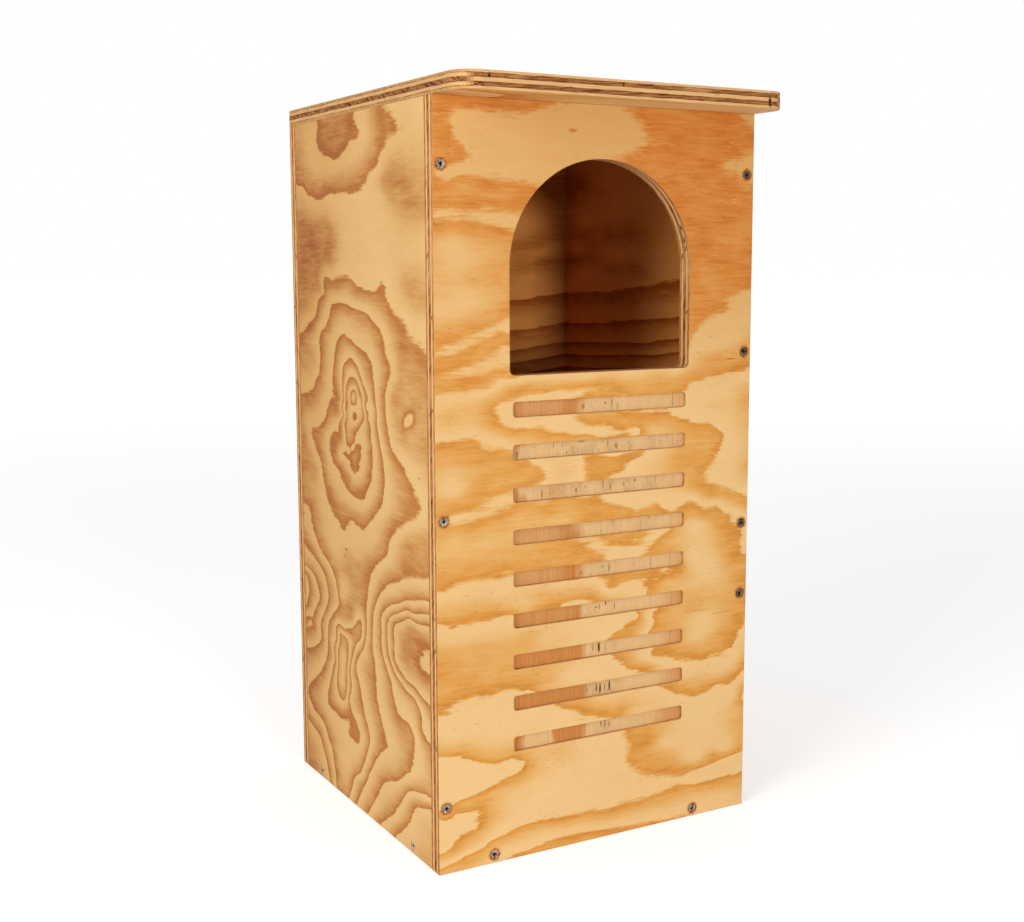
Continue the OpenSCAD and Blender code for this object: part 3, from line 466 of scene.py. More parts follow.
# the inner face of the right wall, seen through the entrance: its rings run almost level
INSIDE_MARKS = [
    (1, [(149, 423), (100, 424), (60, 427), (20, 429), (-20, 431), (-40, 433), (-60, 436), (-100, 441)]),
    (1.5, [(149, 430), (60, 433), (0, 436), (-40, 440), (-80, 444)]),
    (2, [(149, 436), (100, 438), (60, 439), (0, 441), (-20, 443), (-40, 447), (-60, 449), (-100, 453)]),
    (2.3, [(149, 444), (60, 446), (0, 450), (-40, 455), (-70, 458)]),
    (2.8, [(149, 452), (100, 453), (60, 456), (20, 459), (0, 461), (-30, 463)]),
    (3, [(149, 458), (100, 459), (60, 461), (20, 465), (0, 466), (-20, 467), (-40, 468), (-60, 470),
         (-100, 473)]),
    (3.3, [(149, 470), (60, 472), (0, 477), (-50, 481), (-80, 482)]),
    (3.75, [(149, 484), (100, 484), (20, 485), (0, 489), (-40, 492), (-70, 493)]),
    (4, [(149, 491), (100, 492), (60, 493), (20, 497), (0, 500), (-20, 502), (-40, 504), (-60, 506),
         (-100, 510)]),
    (4.2, [(100, 503), (40, 507), (-30, 514), (-60, 520), (-20, 532), (-50, 545), (40, 530), (-60, 570)]),
    (4.65, [(50, 517), (20, 517), (0, 516)]),
    (4.3, [(100, 516), (120, 540), (60, 538), (0, 535), (100, 568), (50, 574), (-20, 580), (20, 590)]),
    (4.7, [(149, 552), (120, 551), (90, 550), (60, 551), (40, 551), (10, 551)]),
    (4.8, [(140, 529.5), (120, 529), (105, 529)]),
    (4.9, [(149, 612), (130, 611), (115, 610)]),
    (4.4, [(80, 615), (0, 625), (-80, 640), (149, 640), (80, 590)]),
    (-1, [(149, 395), (0, 402), (-149, 410)]),
    (-3, [(149, 350), (0, 360), (-149, 365)]),
    (-6, [(149, 260), (0, 255), (-149, 265)]),
]
# (greyness 0..1, across, up, reach in mm) on the groove floors
GROOVE_GREY = [
    (0.95, -10, 364, 30), (0.9, 10, 327, 40), (0.6, 60, 364, 30), (0.35, 5, 401, 25), (0.5, -70, 364, 25),
    (0.5, -8, 290, 14), (0.5, 30, 290, 14), (0.5, -15, 253, 14), (0.6, 0, 216, 14), (0.5, 0, 179, 12),
    (0.85, 2, 142, 15), (0.6, 6, 105, 14),
]
# marks on the faces: (strength, along, up, reach along, reach up in mm)
FRONT_SPECKS = [
    (0.5, -31, 637, 5, 1.8), (0.8, -161, 310, 2, 0.4), (0.55, 141, 436.4, 7, 0.7),
    (0.3, 110, 201, 14, 0.7), (0.3, 134, 195.5, 14, 0.7), (0.3, 155, 190.5, 10, 0.7),
]
LEFT_SPECKS = [
    (0.6, -132, 343, 3, 0.5), (0.6, 148, 270, 2, 1.5), (0.45, 35, 252, 4, 1.2), (0.45, 38, 245, 3, 1),
    (0.3, 28, 172, 6, 2), (0.3, -79, 383, 5, 0.6),
]
# checks and pits in the grooves: (strength, across, up, reach across, reach up in mm)
GROOVE_SPECKS = [
    (0.6, 12, 402, 0.5, 6), (0.5, 18, 399, 0.6, 3), (0.45, -18, 400, 1.6, 2.5), (0.6, 5, 402, 0.9, 1.2),
    (0.6, 8, 366, 0.5, 5), (0.5, 16.6, 363, 1.8, 2.5), (0.5, -20, 369, 4, 1), (0.45, -85, 361, 2, 3.5),
    (0.4, -48, 367, 0.4, 3), (0.4, -39, 367, 0.4, 3), (0.4, 32, 361, 0.4, 4), (0.6, -60, 325, 0.7, 5),
    (0.5, -25, 326, 1.4, 2.5), (0.6, 3, 329, 0.6, 4), (0.4, 11, 326, 1.2, 3), (0.5, 37, 330, 1.6, 1.2),
    (0.4, 25, 327, 1.2, 2), (0.7, 10, 252, 0.6, 5), (0.6, 3, 254, 1.2, 1), (0.4, -20, 251, 1.4, 2),
    (0.9, 6.5, 220, 0.7, 3), (0.6, 0, 217, 0.7, 3), (0.5, -3.5, 217, 2.4, 0.8), (0.6, 16, 216, 0.6, 3.5),
    (1, -0.5, 180, 1.1, 5.5), (0.5, -7, 180, 0.5, 5), (0.4, 6.5, 178, 0.5, 5), (0.3, 16, 178, 0.5, 4),
    (0.5, -13, 142, 0.5, 5), (0.8, -3, 142, 0.8, 5), (1, 1, 141, 0.9, 5), (0.6, 6, 141, 0.6, 4),
    (1, 11, 142, 0.8, 5.5), (0.7, 2, 108, 0.7, 2.5), (0.8, 6.5, 107, 0.6, 4), (0.6, 11, 105, 0.6, 3),
    (0.55, 78, 401, 0.35, 8), (0.5, 78, 364, 0.35, 8), (0.35, 80, 327, 0.3, 8), (0.45, 77, 290, 0.35, 8),
    (0.35, 77, 253, 0.35, 8), (0.3, 79, 216, 0.35, 8), (0.4, 78, 179, 0.35, 8),
]
# core gaps on the entrance's right jamb, painted dark as the shade in them: (strength, place, reach in mm
# across, up and through)
JAMB_VOIDS = [(1.0, (86, 556, 4.5), (2, 3, 1)), (1.0, (89.6, 545.5, 4.5), (2, 4.5, 0.8))]
# core gaps in the roof's front edge: ends across, ends down from the top, and depth, in mm
ROOF_GAPS = [
    ((140.4, 142.0), (5.8, 14.2), 6), ((-138.4, -137.2), (2.5, 5.7), 4), ((-12.9, -12.0), (2.8, 5), 4),
]


def ring_count(marks, along, up, lean, reach=5.0):
    """Smooth field through the marks: a weighted sum of cones sqrt(d^2 + reach^2) about them, with
    the distance d shortened by lean along the grain, plus a constant. Lengths in mm."""
    spots = np.array([(a, b, value) for value, places in marks for a, b in places], float)
    seat = spots[:, :2] * [lean, 1.0]
    gap = seat[:, None, :] - seat[None, :, :]
    count = len(spots)
    system = np.zeros((count + 1, count + 1))
    system[:count, :count] = np.sqrt((gap**2).sum(2) + reach**2)
    system[:count, count] = system[count, :count] = 1.0
    weight = np.linalg.solve(system, np.append(spots[:, 2], 0.0))
    result = np.full(len(along), weight[count])
    for start in range(0, len(along), AT_ONCE):
        part = slice(start, start + AT_ONCE)
        far_a = along[part, None] * lean - seat[None, :, 0]
        far_b = up[part, None] - seat[None, :, 1]
        result[part] += np.sqrt(far_a**2 + far_b**2 + reach**2) @ weight[:count]
    return result


def spread(spots, along, up, rest):
    """Average of the spots' values with weights exp(-(d / reach)^2), and of the rest value with a
    small weight."""
    total = np.full(len(along), rest * REST_WEIGHT)
    weight = np.full(len(along), REST_WEIGHT)
    for value, a, b, reach in spots:
        share = np.exp(-((along - a) ** 2 + (up - b) ** 2) / reach**2)
        total += value * share
        weight += share
    return total / weight


def wander(along, up, seed, rise, knots=()):
    """Ring count of a face without marks: a slope of rise rings per metre across the grain, seeded
    plane waves, long along the grain, and round each knot a dip that falls off with distance."""
    rng = np.random.default_rng(seed)
    a, b = along * MM, up * MM
    total = rise * (b + 0.04 * a) + rng.uniform(0, 1)
    for _ in range(WAVES):
        length_a, length_b = rng.uniform(0.25, 0.9), rng.uniform(0.07, 0.32)
        phase = rng.uniform(0, 2 * math.pi, 2)
        wave = np.cos(2 * math.pi * a / length_a + phase[0]) * np.cos(2 * math.pi * b / length_b + phase[1])
        total += WAVE_HEIGHT * length_b * wave
    for knot_along, knot_up, depth, reach in knots:
        distance = np.hypot((along - knot_along) * KNOT_LEAN, up - knot_up)
        total -= depth * np.exp(-distance / reach)
    return total


# Rings, softness and warmth of each face


def front_seen(along, up):
    """The front, through its marks."""
    ring = ring_count(FRONT_MARKS, along, up, lean=0.6)
    return ring, spread(FRONT_SOFT, along, up, rest=0.05), spread(FRONT_WARM, along, up, rest=0.3)


def left_seen(along, up):
    """The left side, through its marks, and with painted shade that makes it warmer towards its back edge."""
    ring = ring_count(LEFT_MARKS, along, up, lean=0.75)
    warmth = spread(LEFT_WARM, along, up, rest=0.45) + along * LEFT_SHADE_RISE
    return ring, spread(LEFT_SOFT, along, up, rest=0.05), np.clip(warmth, 0, 1)


def right_inside(along, up):
    """The inside of the right wall, through its marks."""
    ring = ring_count(INSIDE_MARKS, along, up, lean=0.4)
    return ring, np.full(len(along), CALM), np.full(len(along), 0.5)


def back_inside(along, up):
    """The right wall's rings carried round the corner, falling away from it."""
    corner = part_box("right_side_panel")[0][X] / MM
    return right_inside(along, up + 0.15 * (corner - along))


def groove_floor(along, up):
    """The floors of the grooves, through their marks, with greyness in the place of warmth."""
    ring = ring_count(GROOVE_MARKS, along, up, lean=1.0)
    return ring, spread(GROOVE_SOFT, along, up, rest=0.25), spread(GROOVE_GREY, along, up, rest=0.15)


def drifting(seed, rise, warm=0.35, knots=()):
    """The three fields of a face without marks: wandering rings, little softness and slow warmth."""

    def fields(along, up):
        ring = wander(along, up, seed, rise, knots)
        slow = wander(along * 0.5, up * 0.5, seed + 50, 0.5)
        return ring, np.full(len(along), CALM), np.clip(warm + 0.25 * np.sin(slow * 2.0), 0, 1)

    return fields


# Boards


def middle_of(edge):
    return (edge.verts[0].co + edge.verts[1].co) / 2


def on_end(point, axis, low, high):
    """True for a point on the board's lowest or highest plane of an axis."""
    return min(abs(point[axis] - low[axis]), abs(point[axis] - high[axis])) < TOUCH


def outer_edge(edge, low, high):
    """True for a sharp edge along two of the board's outermost planes, or round a corner between them."""
    touching = sum(on_end(middle_of(edge), axis, low, high) for axis in (X, Y, Z))
    return touching >= 2 and edge.calc_face_angle(0) > SHARP


def roof_corner(edge, low, high):
    """True for the roof's top and bottom edges round its front corners, which lie on one outer plane."""
    middle = middle_of(edge)
    near = abs(middle[X]) > high[X] - ROOF_CORNER and middle[Y] < low[Y] + ROOF_CORNER
    return near and on_end(middle, Z, low, high) and edge.calc_face_angle(0) > SHARP


def cut_plane(mesh, axis, place):
    """Cuts every face of the mesh that crosses the plane at a place on an axis."""
    normal = np.zeros(3)
    normal[axis] = 1.0
    parts = mesh.verts[:] + mesh.edges[:] + mesh.faces[:]
    bmesh.ops.bisect_plane(mesh, geom=parts, plane_co=normal * place, plane_no=normal, dist=TOUCH)


def core_gap(mesh, low, high, across, down, deep):
    """Sinks a slot into the mesh's front edge where the core veneers don't meet: across and down give
    its ends in mm, along X and down from the top, and deep how far it reaches in."""
    left, right = across[0] * MM, across[1] * MM
    top, foot = high[Z] - down[0] * MM, high[Z] - down[1] * MM
    for axis, place in ((X, left), (X, right), (Z, top), (Z, foot)):
        cut_plane(mesh, axis, place)
    slot = []
    for face in mesh.faces:
        middle = face.calc_center_median()
        inside = left < middle[X] < right and foot < middle[Z] < top
        if inside and abs(middle[Y] - low[Y]) < TOUCH:
            slot.append(face)
    sunk = bmesh.ops.extrude_face_region(mesh, geom=slot)["geom"]
    moved = [part for part in sunk if isinstance(part, bmesh.types.BMVert)]
    bmesh.ops.translate(mesh, verts=moved, vec=(0, deep * MM, 0))


def board_mesh(node, step, axes, rounded, gaps):
    """A merged copy of the node's mesh with its long edges eased by two steps of a round bevel, its
    core gaps sunk in, and cut into strips a step apart, so that it can carry the ring count."""
    mesh = bmesh.new()
    mesh.from_mesh(frame["nodes"][node].data)
    bmesh.ops.remove_doubles(mesh, verts=mesh.verts, dist=2 * TOUCH)
    bmesh.ops.dissolve_limit(mesh, angle_limit=0.001, use_dissolve_boundaries=False, verts=mesh.verts,
                             edges=mesh.edges, delimit=set())
    low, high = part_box(node)
    tests = [outer_edge, rounded] if rounded else [outer_edge]
    picked = [edge for edge in mesh.edges if any(test(edge, low, high) for test in tests)]
    bmesh.ops.bevel(mesh, geom=picked, offset=EASE, offset_type="OFFSET", segments=2, profile=0.5,
                    affect="EDGES", clamp_overlap=True, miter_outer="SHARP")
    for gap in gaps:
        core_gap(mesh, low, high, *gap)
    for axis in axes:
        for place in np.arange(low[axis] + step, high[axis] - step / 2, step):
            cut_plane(mesh, axis, place)
    bmesh.ops.triangulate(mesh, faces=mesh.faces[:])
    result = bpy.data.meshes.new(node.replace("_panel", "") + "_ply")
    mesh.to_mesh(result)
    mesh.free()
    return result


def read_mesh(mesh):
    """Vertex places (n, 3), corner vertices (m, 3) and face normals (m, 3) of a mesh of triangles."""
    places = places_of(mesh)
    corners = np.zeros(len(mesh.loops), np.int32)
    mesh.loops.foreach_get("vertex_index", corners)
    corners = corners.reshape(-1, 3)
    a, b, c = (places[corners[:, i]] for i in range(3))
    normals = np.cross(b - a, c - a)
    return places, corners, normals / np.maximum(np.linalg.norm(normals, axis=1, keepdims=True), 1e-20)


def keep(mesh, name, values):
    """Stores one value or vector per face corner under a name that the materials read."""
    values = np.ascontiguousarray(values, np.float32)
    kind, part = ("FLOAT_VECTOR", "vector") if values.ndim == 2 else ("FLOAT", "value")
    layer = mesh.attributes.new(name, kind, "CORNER")
    layer.data.foreach_set(part, values.ravel())


def rim(places, corners, normals):
    """1 at vertices where faces meet at a clear angle, 0 elsewhere."""
    sums = np.zeros_like(places)
    counts = np.zeros(len(places))
    for i in range(3):
        np.add.at(sums, corners[:, i], normals)
        np.add.at(counts, corners[:, i], 1.0)
    flatness = np.linalg.norm(sums, axis=1) / np.maximum(counts, 1)
    return (flatness < ROUNDED).astype(float)


def slots_of(board, corners, flat, thick):
    """Material slot of each triangle, from the depth of its middle and whether it lies flat."""
    across, _, depth = board[corners].mean(1).T
    near, far = flat & (depth < FACE_SKIN), flat & (depth > thick - FACE_SKIN)
    groove = flat & (abs(depth - GROOVE_DEPTH) < GROOVE_SKIN) & (abs(across) < GROOVE_REACH)
    return np.select([near, far, groove], [SEEN_FACE, FAR_FACE, GROOVE_FLOOR], SAWN_EDGE)


def figure_of(board, corners, slots, seen, hidden):
    """(rings, softness, warmth) at each face corner, from the fields of the side that it lies on."""
    along, up = board[:, 0] / MM, board[:, 1] / MM
    fields = {SEEN_FACE: seen(along, up), FAR_FACE: hidden(along, up)}
    if (slots == GROOVE_FLOOR).any():
        fields[GROOVE_FLOOR] = groove_floor(along, up)
    figure = np.zeros((len(corners), 3, 3))
    for slot, parts in fields.items():
        rows = slots == slot
        figure[rows] = np.stack(parts, 1)[corners[rows]]
    return figure


def make_board(name, node, body, axes, sign, step, seen, hidden, materials, rounded=None, gaps=()):
    """Builds a board from its node. axes are those along the grain, across it and through the board,
    and sign is 1 where depth from the seen face grows with the last. seen and hidden give the fields
    of the two sides from mm along and up, and materials are in the order of the slots."""
    mesh = board_mesh(node, step, axes[:2], rounded, gaps)
    places, corners, normals = read_mesh(mesh)
    low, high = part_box(node)
    through = axes[2]
    zero = low[through] if sign > 0 else high[through]
    board = np.stack([places[:, axes[0]], places[:, axes[1]], sign * (places[:, through] - zero)], 1)
    flat = np.abs(normals[:, through]) > ACROSS
    slots = slots_of(board, corners, flat, high[through] - low[through])
    lie = board[corners]
    bared = slots == GROOVE_FLOOR
    lie[bared] = lie[bared][:, :, [1, 0, 2]]  # the bared ply's grain runs up the board
    keep(mesh, "board", lie.reshape(-1, 3))
    keep(mesh, "figure", figure_of(board, corners, slots, seen, hidden).reshape(-1, 3))
    keep(mesh, "facing", np.repeat(np.abs(normals[:, axes[0]]), 3))
    keep(mesh, "rim", rim(places, corners, normals)[corners].ravel())
    for finish in materials:
        mesh.materials.append(finish)
    mesh.polygons.foreach_set("material_index", slots.astype(np.int32))
    mesh.update()
    piece = placed(name, mesh)
    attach(piece, body)
    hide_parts(node)


# Node helpers


def colour(text):
    """Linear RGBA of an sRGB colour written as rrggbb."""
    parts = [int(text[i : i + 2], 16) / 255 for i in (0, 2, 4)]
    return tuple(p / 12.92 if p <= 0.04045 else ((p + 0.055) / 1.055) ** 2.4 for p in parts) + (1.0,)


class Bench:
    """Lays nodes in one tree. A feed that is a socket is linked, another value is written, None is left."""

    def __init__(self, tree):
        self.tree = tree

    def put(self, kind, feeds=(), out=0, **settings):
        """One output of a new node with its settings and its feeds, in their order or by their names."""
        node = self.tree.nodes.new(kind)
        for key, value in settings.items():
            setattr(node, key, value)
        pairs = feeds.items() if isinstance(feeds, dict) else enumerate(feeds)
        for where, value in pairs:
            if isinstance(value, bpy.types.NodeSocket):
                self.tree.links.new(value, node.inputs[where])
            elif value is not None:
                node.inputs[where].default_value = value
        return node.outputs[out]

    def use(self, tree, feeds):
        """The outputs of a node group with its named feeds."""
        return self.put("ShaderNodeGroup", feeds, node_tree=tree).node.outputs

    def ready_made(self, kind):
        """The node of a kind that the tree was made with."""
        return next(node for node in self.tree.nodes if node.type == kind)

    def maths(self, operation, *feeds, clamp=False):
        return self.put("ShaderNodeMath", feeds, operation=operation, use_clamp=clamp)

    def fold(self, operation, feeds):
        """All the feeds, taken one after another into a total."""
        return functools.reduce(lambda total, feed: self.maths(operation, total, feed), feeds)

    def add(self, *feeds):
        return self.fold("ADD", feeds)

    def times(self, *feeds):
        return self.fold("MULTIPLY", feeds)

    def most(self, *feeds):
        return self.fold("MAXIMUM", feeds)

    def scaled(self, value, slope, start):
        """Value times slope, plus start."""
        return self.maths("MULTIPLY_ADD", value, slope, start)

    def rest(self, value, clamp=False):
        """What is left of 1 after the value."""
        return self.maths("SUBTRACT", 1.0, value, clamp=clamp)

    def within(self, value, middle, reach):
        """1 where the value is no further than the reach from the middle, 0 elsewhere."""
        return self.maths("COMPARE", value, middle, reach)

    def vector(self, operation, *feeds, out=0):
        return self.put("ShaderNodeVectorMath", feeds, out, operation=operation)

    def noise(self, vector, factors, detail=2.0, rough=0.5, shift=(0, 0, 0)):
        """Noise whose waves per metre along each axis are the factors, from 0 to 1."""
        place = self.vector("MULTIPLY_ADD", vector, factors, shift)
        feeds = {"Vector": place, "Scale": 1.0, "Detail": detail, "Roughness": rough}
        return self.put("ShaderNodeTexNoise", feeds)

    def swing(self, vector, factors, amount, detail=2.0, shift=(0, 0, 0)):
        """Noise centred on 0, times twice the amount."""
        return self.scaled(self.noise(vector, factors, detail, shift=shift), 2 * amount, -amount)

    def span(self, value, a, b, c=0.0, d=1.0, smooth=False):
        """Value from a..b carried to c..d and held there."""
        kind = "SMOOTHSTEP" if smooth else "LINEAR"
        return self.put("ShaderNodeMapRange", (value, a, b, c, d), interpolation_type=kind)

    def blend(self, factor, a, b):
        """Number a where the factor is 0 and b where it is 1."""
        return self.put("ShaderNodeMix", {0: factor, 2: a, 3: b}, data_type="FLOAT")

    def mix(self, factor, a, b, kind="MIX"):
        """Colour a where the factor is 0 and b where it is 1."""
        return self.put("ShaderNodeMix", {0: factor, 6: a, 7: b}, out=2, data_type="RGBA", blend_type=kind)

    def stain(self, factor, wood, *tint):
        """The wood multiplied by the tint where the factor is 1."""
        return self.mix(factor, wood, (*tint, 1), "MULTIPLY")

    def attribute(self, name, vector=False):
        """A value or vector kept on the mesh."""
        return self.put("ShaderNodeAttribute", out=1 if vector else 2, attribute_name=name)

    def object_place(self):
        return self.put("ShaderNodeTexCoord", out=3)

    def split(self, vector):
        return self.put("ShaderNodeSeparateXYZ", (vector,)).node.outputs

    def join(self, x, y, z):
        return self.put("ShaderNodeCombineXYZ", (x, y, z))


def group(name, vectors=(), values=(), colours=(), results=SURFACE):
    """An empty node group with named sockets: its bench, its inputs and a way to feed its outputs."""
    tree = bpy.data.node_groups.new(name, "ShaderNodeTree")
    starts = ((vectors, "Vector", (0, 0, 0)), (values, "Float", 0.0), (colours, "Color", (1, 1, 1, 1)))
    for labels, kind, start in starts:
        for label in labels:
            socket = tree.interface.new_socket(label, in_out="INPUT", socket_type="NodeSocket" + kind)
            socket.default_value = start
    for label, kind in results:
        tree.interface.new_socket(label, in_out="OUTPUT", socket_type="NodeSocket" + kind)
    given = tree.nodes.new("NodeGroupInput").outputs
    end = tree.nodes.new("NodeGroupOutput")

    def give(label, socket):
        tree.links.new(socket, end.inputs[label])

    return Bench(tree), given, give


def ready(bench, value):
    """A feed made ready: rrggbb becomes a colour, a function is called with the bench."""
    if isinstance(value, str):
        return colour(value)
    return value(bench) if callable(value) else value


def material(name, tree, bump_distance, feeds, **shader):
    """A Principled material whose colour, roughness and bump come from a node group and its feeds."""
    made = bpy.data.materials.new(name)
    made.use_nodes = True
    bench = Bench(made.node_tree)
    principled = bench.ready_made("BSDF_PRINCIPLED")
    given = bench.use(tree, {label: ready(bench, value) for label, value in feeds.items()})
    bump = bench.put("ShaderNodeBump", {"Height": given["Height"], "Distance": bump_distance})
    ends = {"Base Color": given["Colour"], "Roughness": given["Roughness"], "Normal": bump}
    for label, source in ends.items():
        made.node_tree.links.new(source, principled.inputs[label])
    for label, value in shader.items():
        principled.inputs[label.replace("_", " ")].default_value = value
    return made


# Face veneer


def ring_tone(bench, count, softness, late=1.0):
    """How dark the wood is, 0 to 1, by the part of a ring already grown: slow at first, then a steep
    climb, and pale again just past the whole number, over a width that grows with the softness. The
    larger late is, the narrower the dark part."""
    part = bench.maths("FRACT", count)
    climb = bench.put("ShaderNodeFloatCurve", (1.0, bench.maths("POWER", part, late)))
    curve = climb.node.mapping.curves[0]
    curve.points[0].location, curve.points[1].location = (0, 0.02), (1, 1)
    for place in TONE_CURVE:
        curve.points.new(*place)
    climb.node.mapping.update()
    width = bench.scaled(softness, 0.16, 0.014)
    drop = bench.span(part, 0.0, width, 1.0, 0.0, smooth=True)
    return bench.most(climb, drop), part


def rim_wear_and_shade(bench, board, edge):
    """1 along edges that are darkened, partly by wear and partly as painted shade along the grooves' edges and
    creases, broken up by small bare places.
    """
    rim_noise = bench.swing(board, (160, 160, 160), 0.25)
    return bench.span(bench.add(edge, rim_noise), 0.72, 1.0)


def feathered_rings(bench, board, rings, softness, late):
    """Ring tone with feathered edges, three parts crisp and one frayed, and a line of latest wood."""
    loose = bench.scaled(softness, 1.3, 1.0)
    drift = bench.add(rings, bench.swing(board, (24, 110, 9), 0.07, 3.0))
    ragged = bench.swing(board, (55, 420, 9), 0.075, 4.0, (3, 1, 0))
    torn = bench.swing(board, (100, 260, 9), 0.13, 3.0, (6, 2, 0))
    crisp, part = ring_tone(bench, bench.add(drift, bench.times(ragged, loose)), softness, late)
    frayed, _ = ring_tone(bench, bench.add(drift, bench.times(torn, loose)), softness, late)
    last = bench.times(bench.span(part, 0.84, 1.0), bench.rest(softness, clamp=True))
    return bench.blend(0.3, crisp, frayed), last


def mottled_grain(bench, board, fibre, tone, warmth):
    """Mottling, streaks and fibres along the grain, centred on 0 and stronger in dark, warm wood."""
    mottle = bench.swing(board, (32, 90, 5), 0.42, 5.0, (5, 5, 0))
    streak = bench.swing(board, (34, 400, 9), 0.3, 4.0, (2, 9, 0))
    grain = bench.add(mottle, streak, bench.scaled(fibre, 0.5, -0.25))
    return bench.times(grain, bench.scaled(tone, 0.85, 0.15), bench.scaled(warmth, 0.7, 0.8))


def veneer_colour(bench, given, tone, warmth):
    """Pale to dark by the tone, each from its cool to its warm colour, and yellower half way."""
    pale = bench.mix(warmth, given["Pale"], given["Warm"])
    dark = bench.mix(warmth, given["Orange"], given["Deep"])
    wood = bench.mix(bench.span(tone, 0.0, 0.8), pale, dark)
    wood = bench.mix(bench.span(tone, 0.8, 1.3), wood, bench.stain(1.0, dark, 0.72, 0.56, 0.42))
    middle = bench.times(bench.span(tone, 0.05, 0.4), bench.span(tone, 0.4, 0.9, 1.0, 0.0))
    return bench.stain(bench.times(middle, 0.3), wood, 1.0, 1.0, 0.8)


def dashed(bench, board, amount):
    """Where short dark dashes lie, in fields of their own, and where pale ones lie between them."""
    places = bench.noise(board, (13, 40, 9), 1.0, 0.5, (8, 3, 0))
    dash = bench.noise(board, (130, 1400, 9), 1.0, 0.5, (4, 6, 0))
    dark = bench.times(bench.span(dash, 0.68, 0.76), bench.span(places, 0.45, 0.62), amount)
    pale = bench.times(bench.span(dash, 0.32, 0.26), bench.span(places, 0.55, 0.38), 0.4)
    return dark, pale


def peeled_veneer():
    """Face veneer from the ring count: pale past each whole ring and browner towards the next, with
    grain, fibres, dashes, and edges darkened by wear and painted shade. Specks marks small pitch spots
    and splits, and on the front the dark rings round the screw heads, partly painted shade."""
    bench, given, give = group(
        "peeled veneer",
        vectors=("Board", "Figure"),
        values=("Rim", "Specks", "Dashes", "Late"),
        colours=("Pale", "Warm", "Orange", "Deep", "Pitch"),
    )
    board, marks = given["Board"], given["Specks"]
    rings, softness, warmth = bench.split(given["Figure"])
    tone, last = feathered_rings(bench, board, rings, softness, given["Late"])
    fibre = bench.noise(board, (80, 1300, 9), 4.0, 0.62, (7, 2, 0))
    grain = mottled_grain(bench, board, fibre, tone, warmth)
    tone = bench.add(bench.times(tone, 0.8), bench.times(last, 0.2), grain)
    wood = veneer_colour(bench, given, tone, warmth)
    wood = bench.stain(bench.span(fibre, 0.34, 0.62, 0.1, 0.0), wood, 0.66, 0.5, 0.34)
    dark_dash, pale_dash = dashed(bench, board, given["Dashes"])
    wood = bench.mix(bench.times(dark_dash, 0.5), wood, given["Pitch"])
    wood = bench.mix(pale_dash, wood, given["Pale"])
    spot = bench.mix(bench.span(marks, 0.3, 0.9), given["Deep"], given["Pitch"])
    wood = bench.mix(bench.span(marks, 0.0, 0.65), wood, spot)
    # edges darkened: partly wear, partly painted shade along the grooves' edges
    rim_dark = rim_wear_and_shade(bench, board, given["Rim"])
    give("Colour", bench.stain(bench.times(rim_dark, 0.5), wood, 0.6, 0.36, 0.18))
    rough = bench.add(bench.scaled(tone, -0.12, 0.55), bench.times(fibre, 0.25))
    give("Roughness", bench.add(rough, bench.times(rim_dark, 0.1)))
    relief = bench.scaled(dark_dash, -0.7, bench.scaled(tone, 0.3, fibre))
    give("Height", bench.scaled(rim_dark, -0.5, bench.scaled(marks, -0.6, relief)))
    return bench.tree


# The cross ply that the grooves lay bare


def bared_ply():
    """Floor of the router's grooves, the cross ply, with its grain up the board: pale, orange where its
    own rings turn dark, greyed in patches, with small dark pits and hairline checks."""
    bench, given, give = group(
        "bared cross ply",
        vectors=("Board", "Figure"),
        values=("Rim", "Specks"),
        colours=("Pale", "Orange", "Grey", "Dark"),
    )
    board, marks = given["Board"], given["Specks"]
    rings, softness, greyness = bench.split(given["Figure"])
    count = bench.add(rings, bench.swing(board, (20, 300, 9), 0.04, 3.0))
    tone, _ = ring_tone(bench, count, softness)
    streak = bench.swing(board, (22, 700, 9), 0.5, 4.0, (1, 1, 0))
    streak = bench.times(streak, bench.scaled(tone, 0.5, 0.4))
    tone = bench.add(bench.times(tone, 0.85), streak)
    wood = bench.mix(bench.span(tone, 0.0, 1.0), given["Pale"], given["Orange"])
    cloud = bench.span(bench.noise(board, (30, 60, 9), 3.0, 0.6, (4, 4, 0)), 0.36, 0.62)
    weave = bench.noise(board, (90, 1100, 9), 3.0, 0.65, (2, 3, 0))
    grey = bench.times(greyness, cloud, bench.span(weave, 0.36, 0.6))
    wood = bench.mix(bench.times(grey, 0.75), wood, given["Grey"])
    pit = bench.noise(board, (260, 420, 9), 1.0, 0.5, (7, 7, 0))
    pit = bench.times(bench.span(pit, 0.66, 0.74), bench.scaled(greyness, 1.1, 0.1), cloud)
    hair = bench.span(bench.noise(board, (5, 330, 9), 1.0, 0.5, (9, 1, 0)), 0.7, 0.78)
    for dark in (bench.times(pit, 0.8), bench.times(hair, 0.4), marks):
        wood = bench.mix(dark, wood, given["Dark"])
    # painted shade along the creases where the floor meets the groove's walls
    rim_dark = rim_wear_and_shade(bench, board, given["Rim"])
    give("Colour", bench.stain(bench.times(rim_dark, 0.6), wood, 0.52, 0.33, 0.2))
    give("Roughness", bench.scaled(weave, 0.2, 0.62))
    relief = bench.scaled(hair, -0.7, bench.scaled(pit, -0.9, weave))
    give("Height", bench.scaled(marks, -0.8, relief))
    return bench.tree


# Sawn edges


def ply_layers(bench, depth):
    """Cross ply, 1 in the second and fourth plies and 0 in the others, and the glue lines between."""
    steps, lines = [], []
    for joint in PLY_JOINTS:
        steps.append(bench.span(depth, (joint - 0.06) * MM, (joint + 0.06) * MM))
        off = bench.maths("ABSOLUTE", bench.maths("SUBTRACT", depth, joint * MM))
        lines.append(bench.span(off, 0.12 * MM, 0.45 * MM, 1.0, 0.0))
    cross = steps[0]
    for step in steps[1:]:
        cross = bench.maths("ABSOLUTE", bench.maths("SUBTRACT", cross, step))
    return cross, bench.most(*lines)


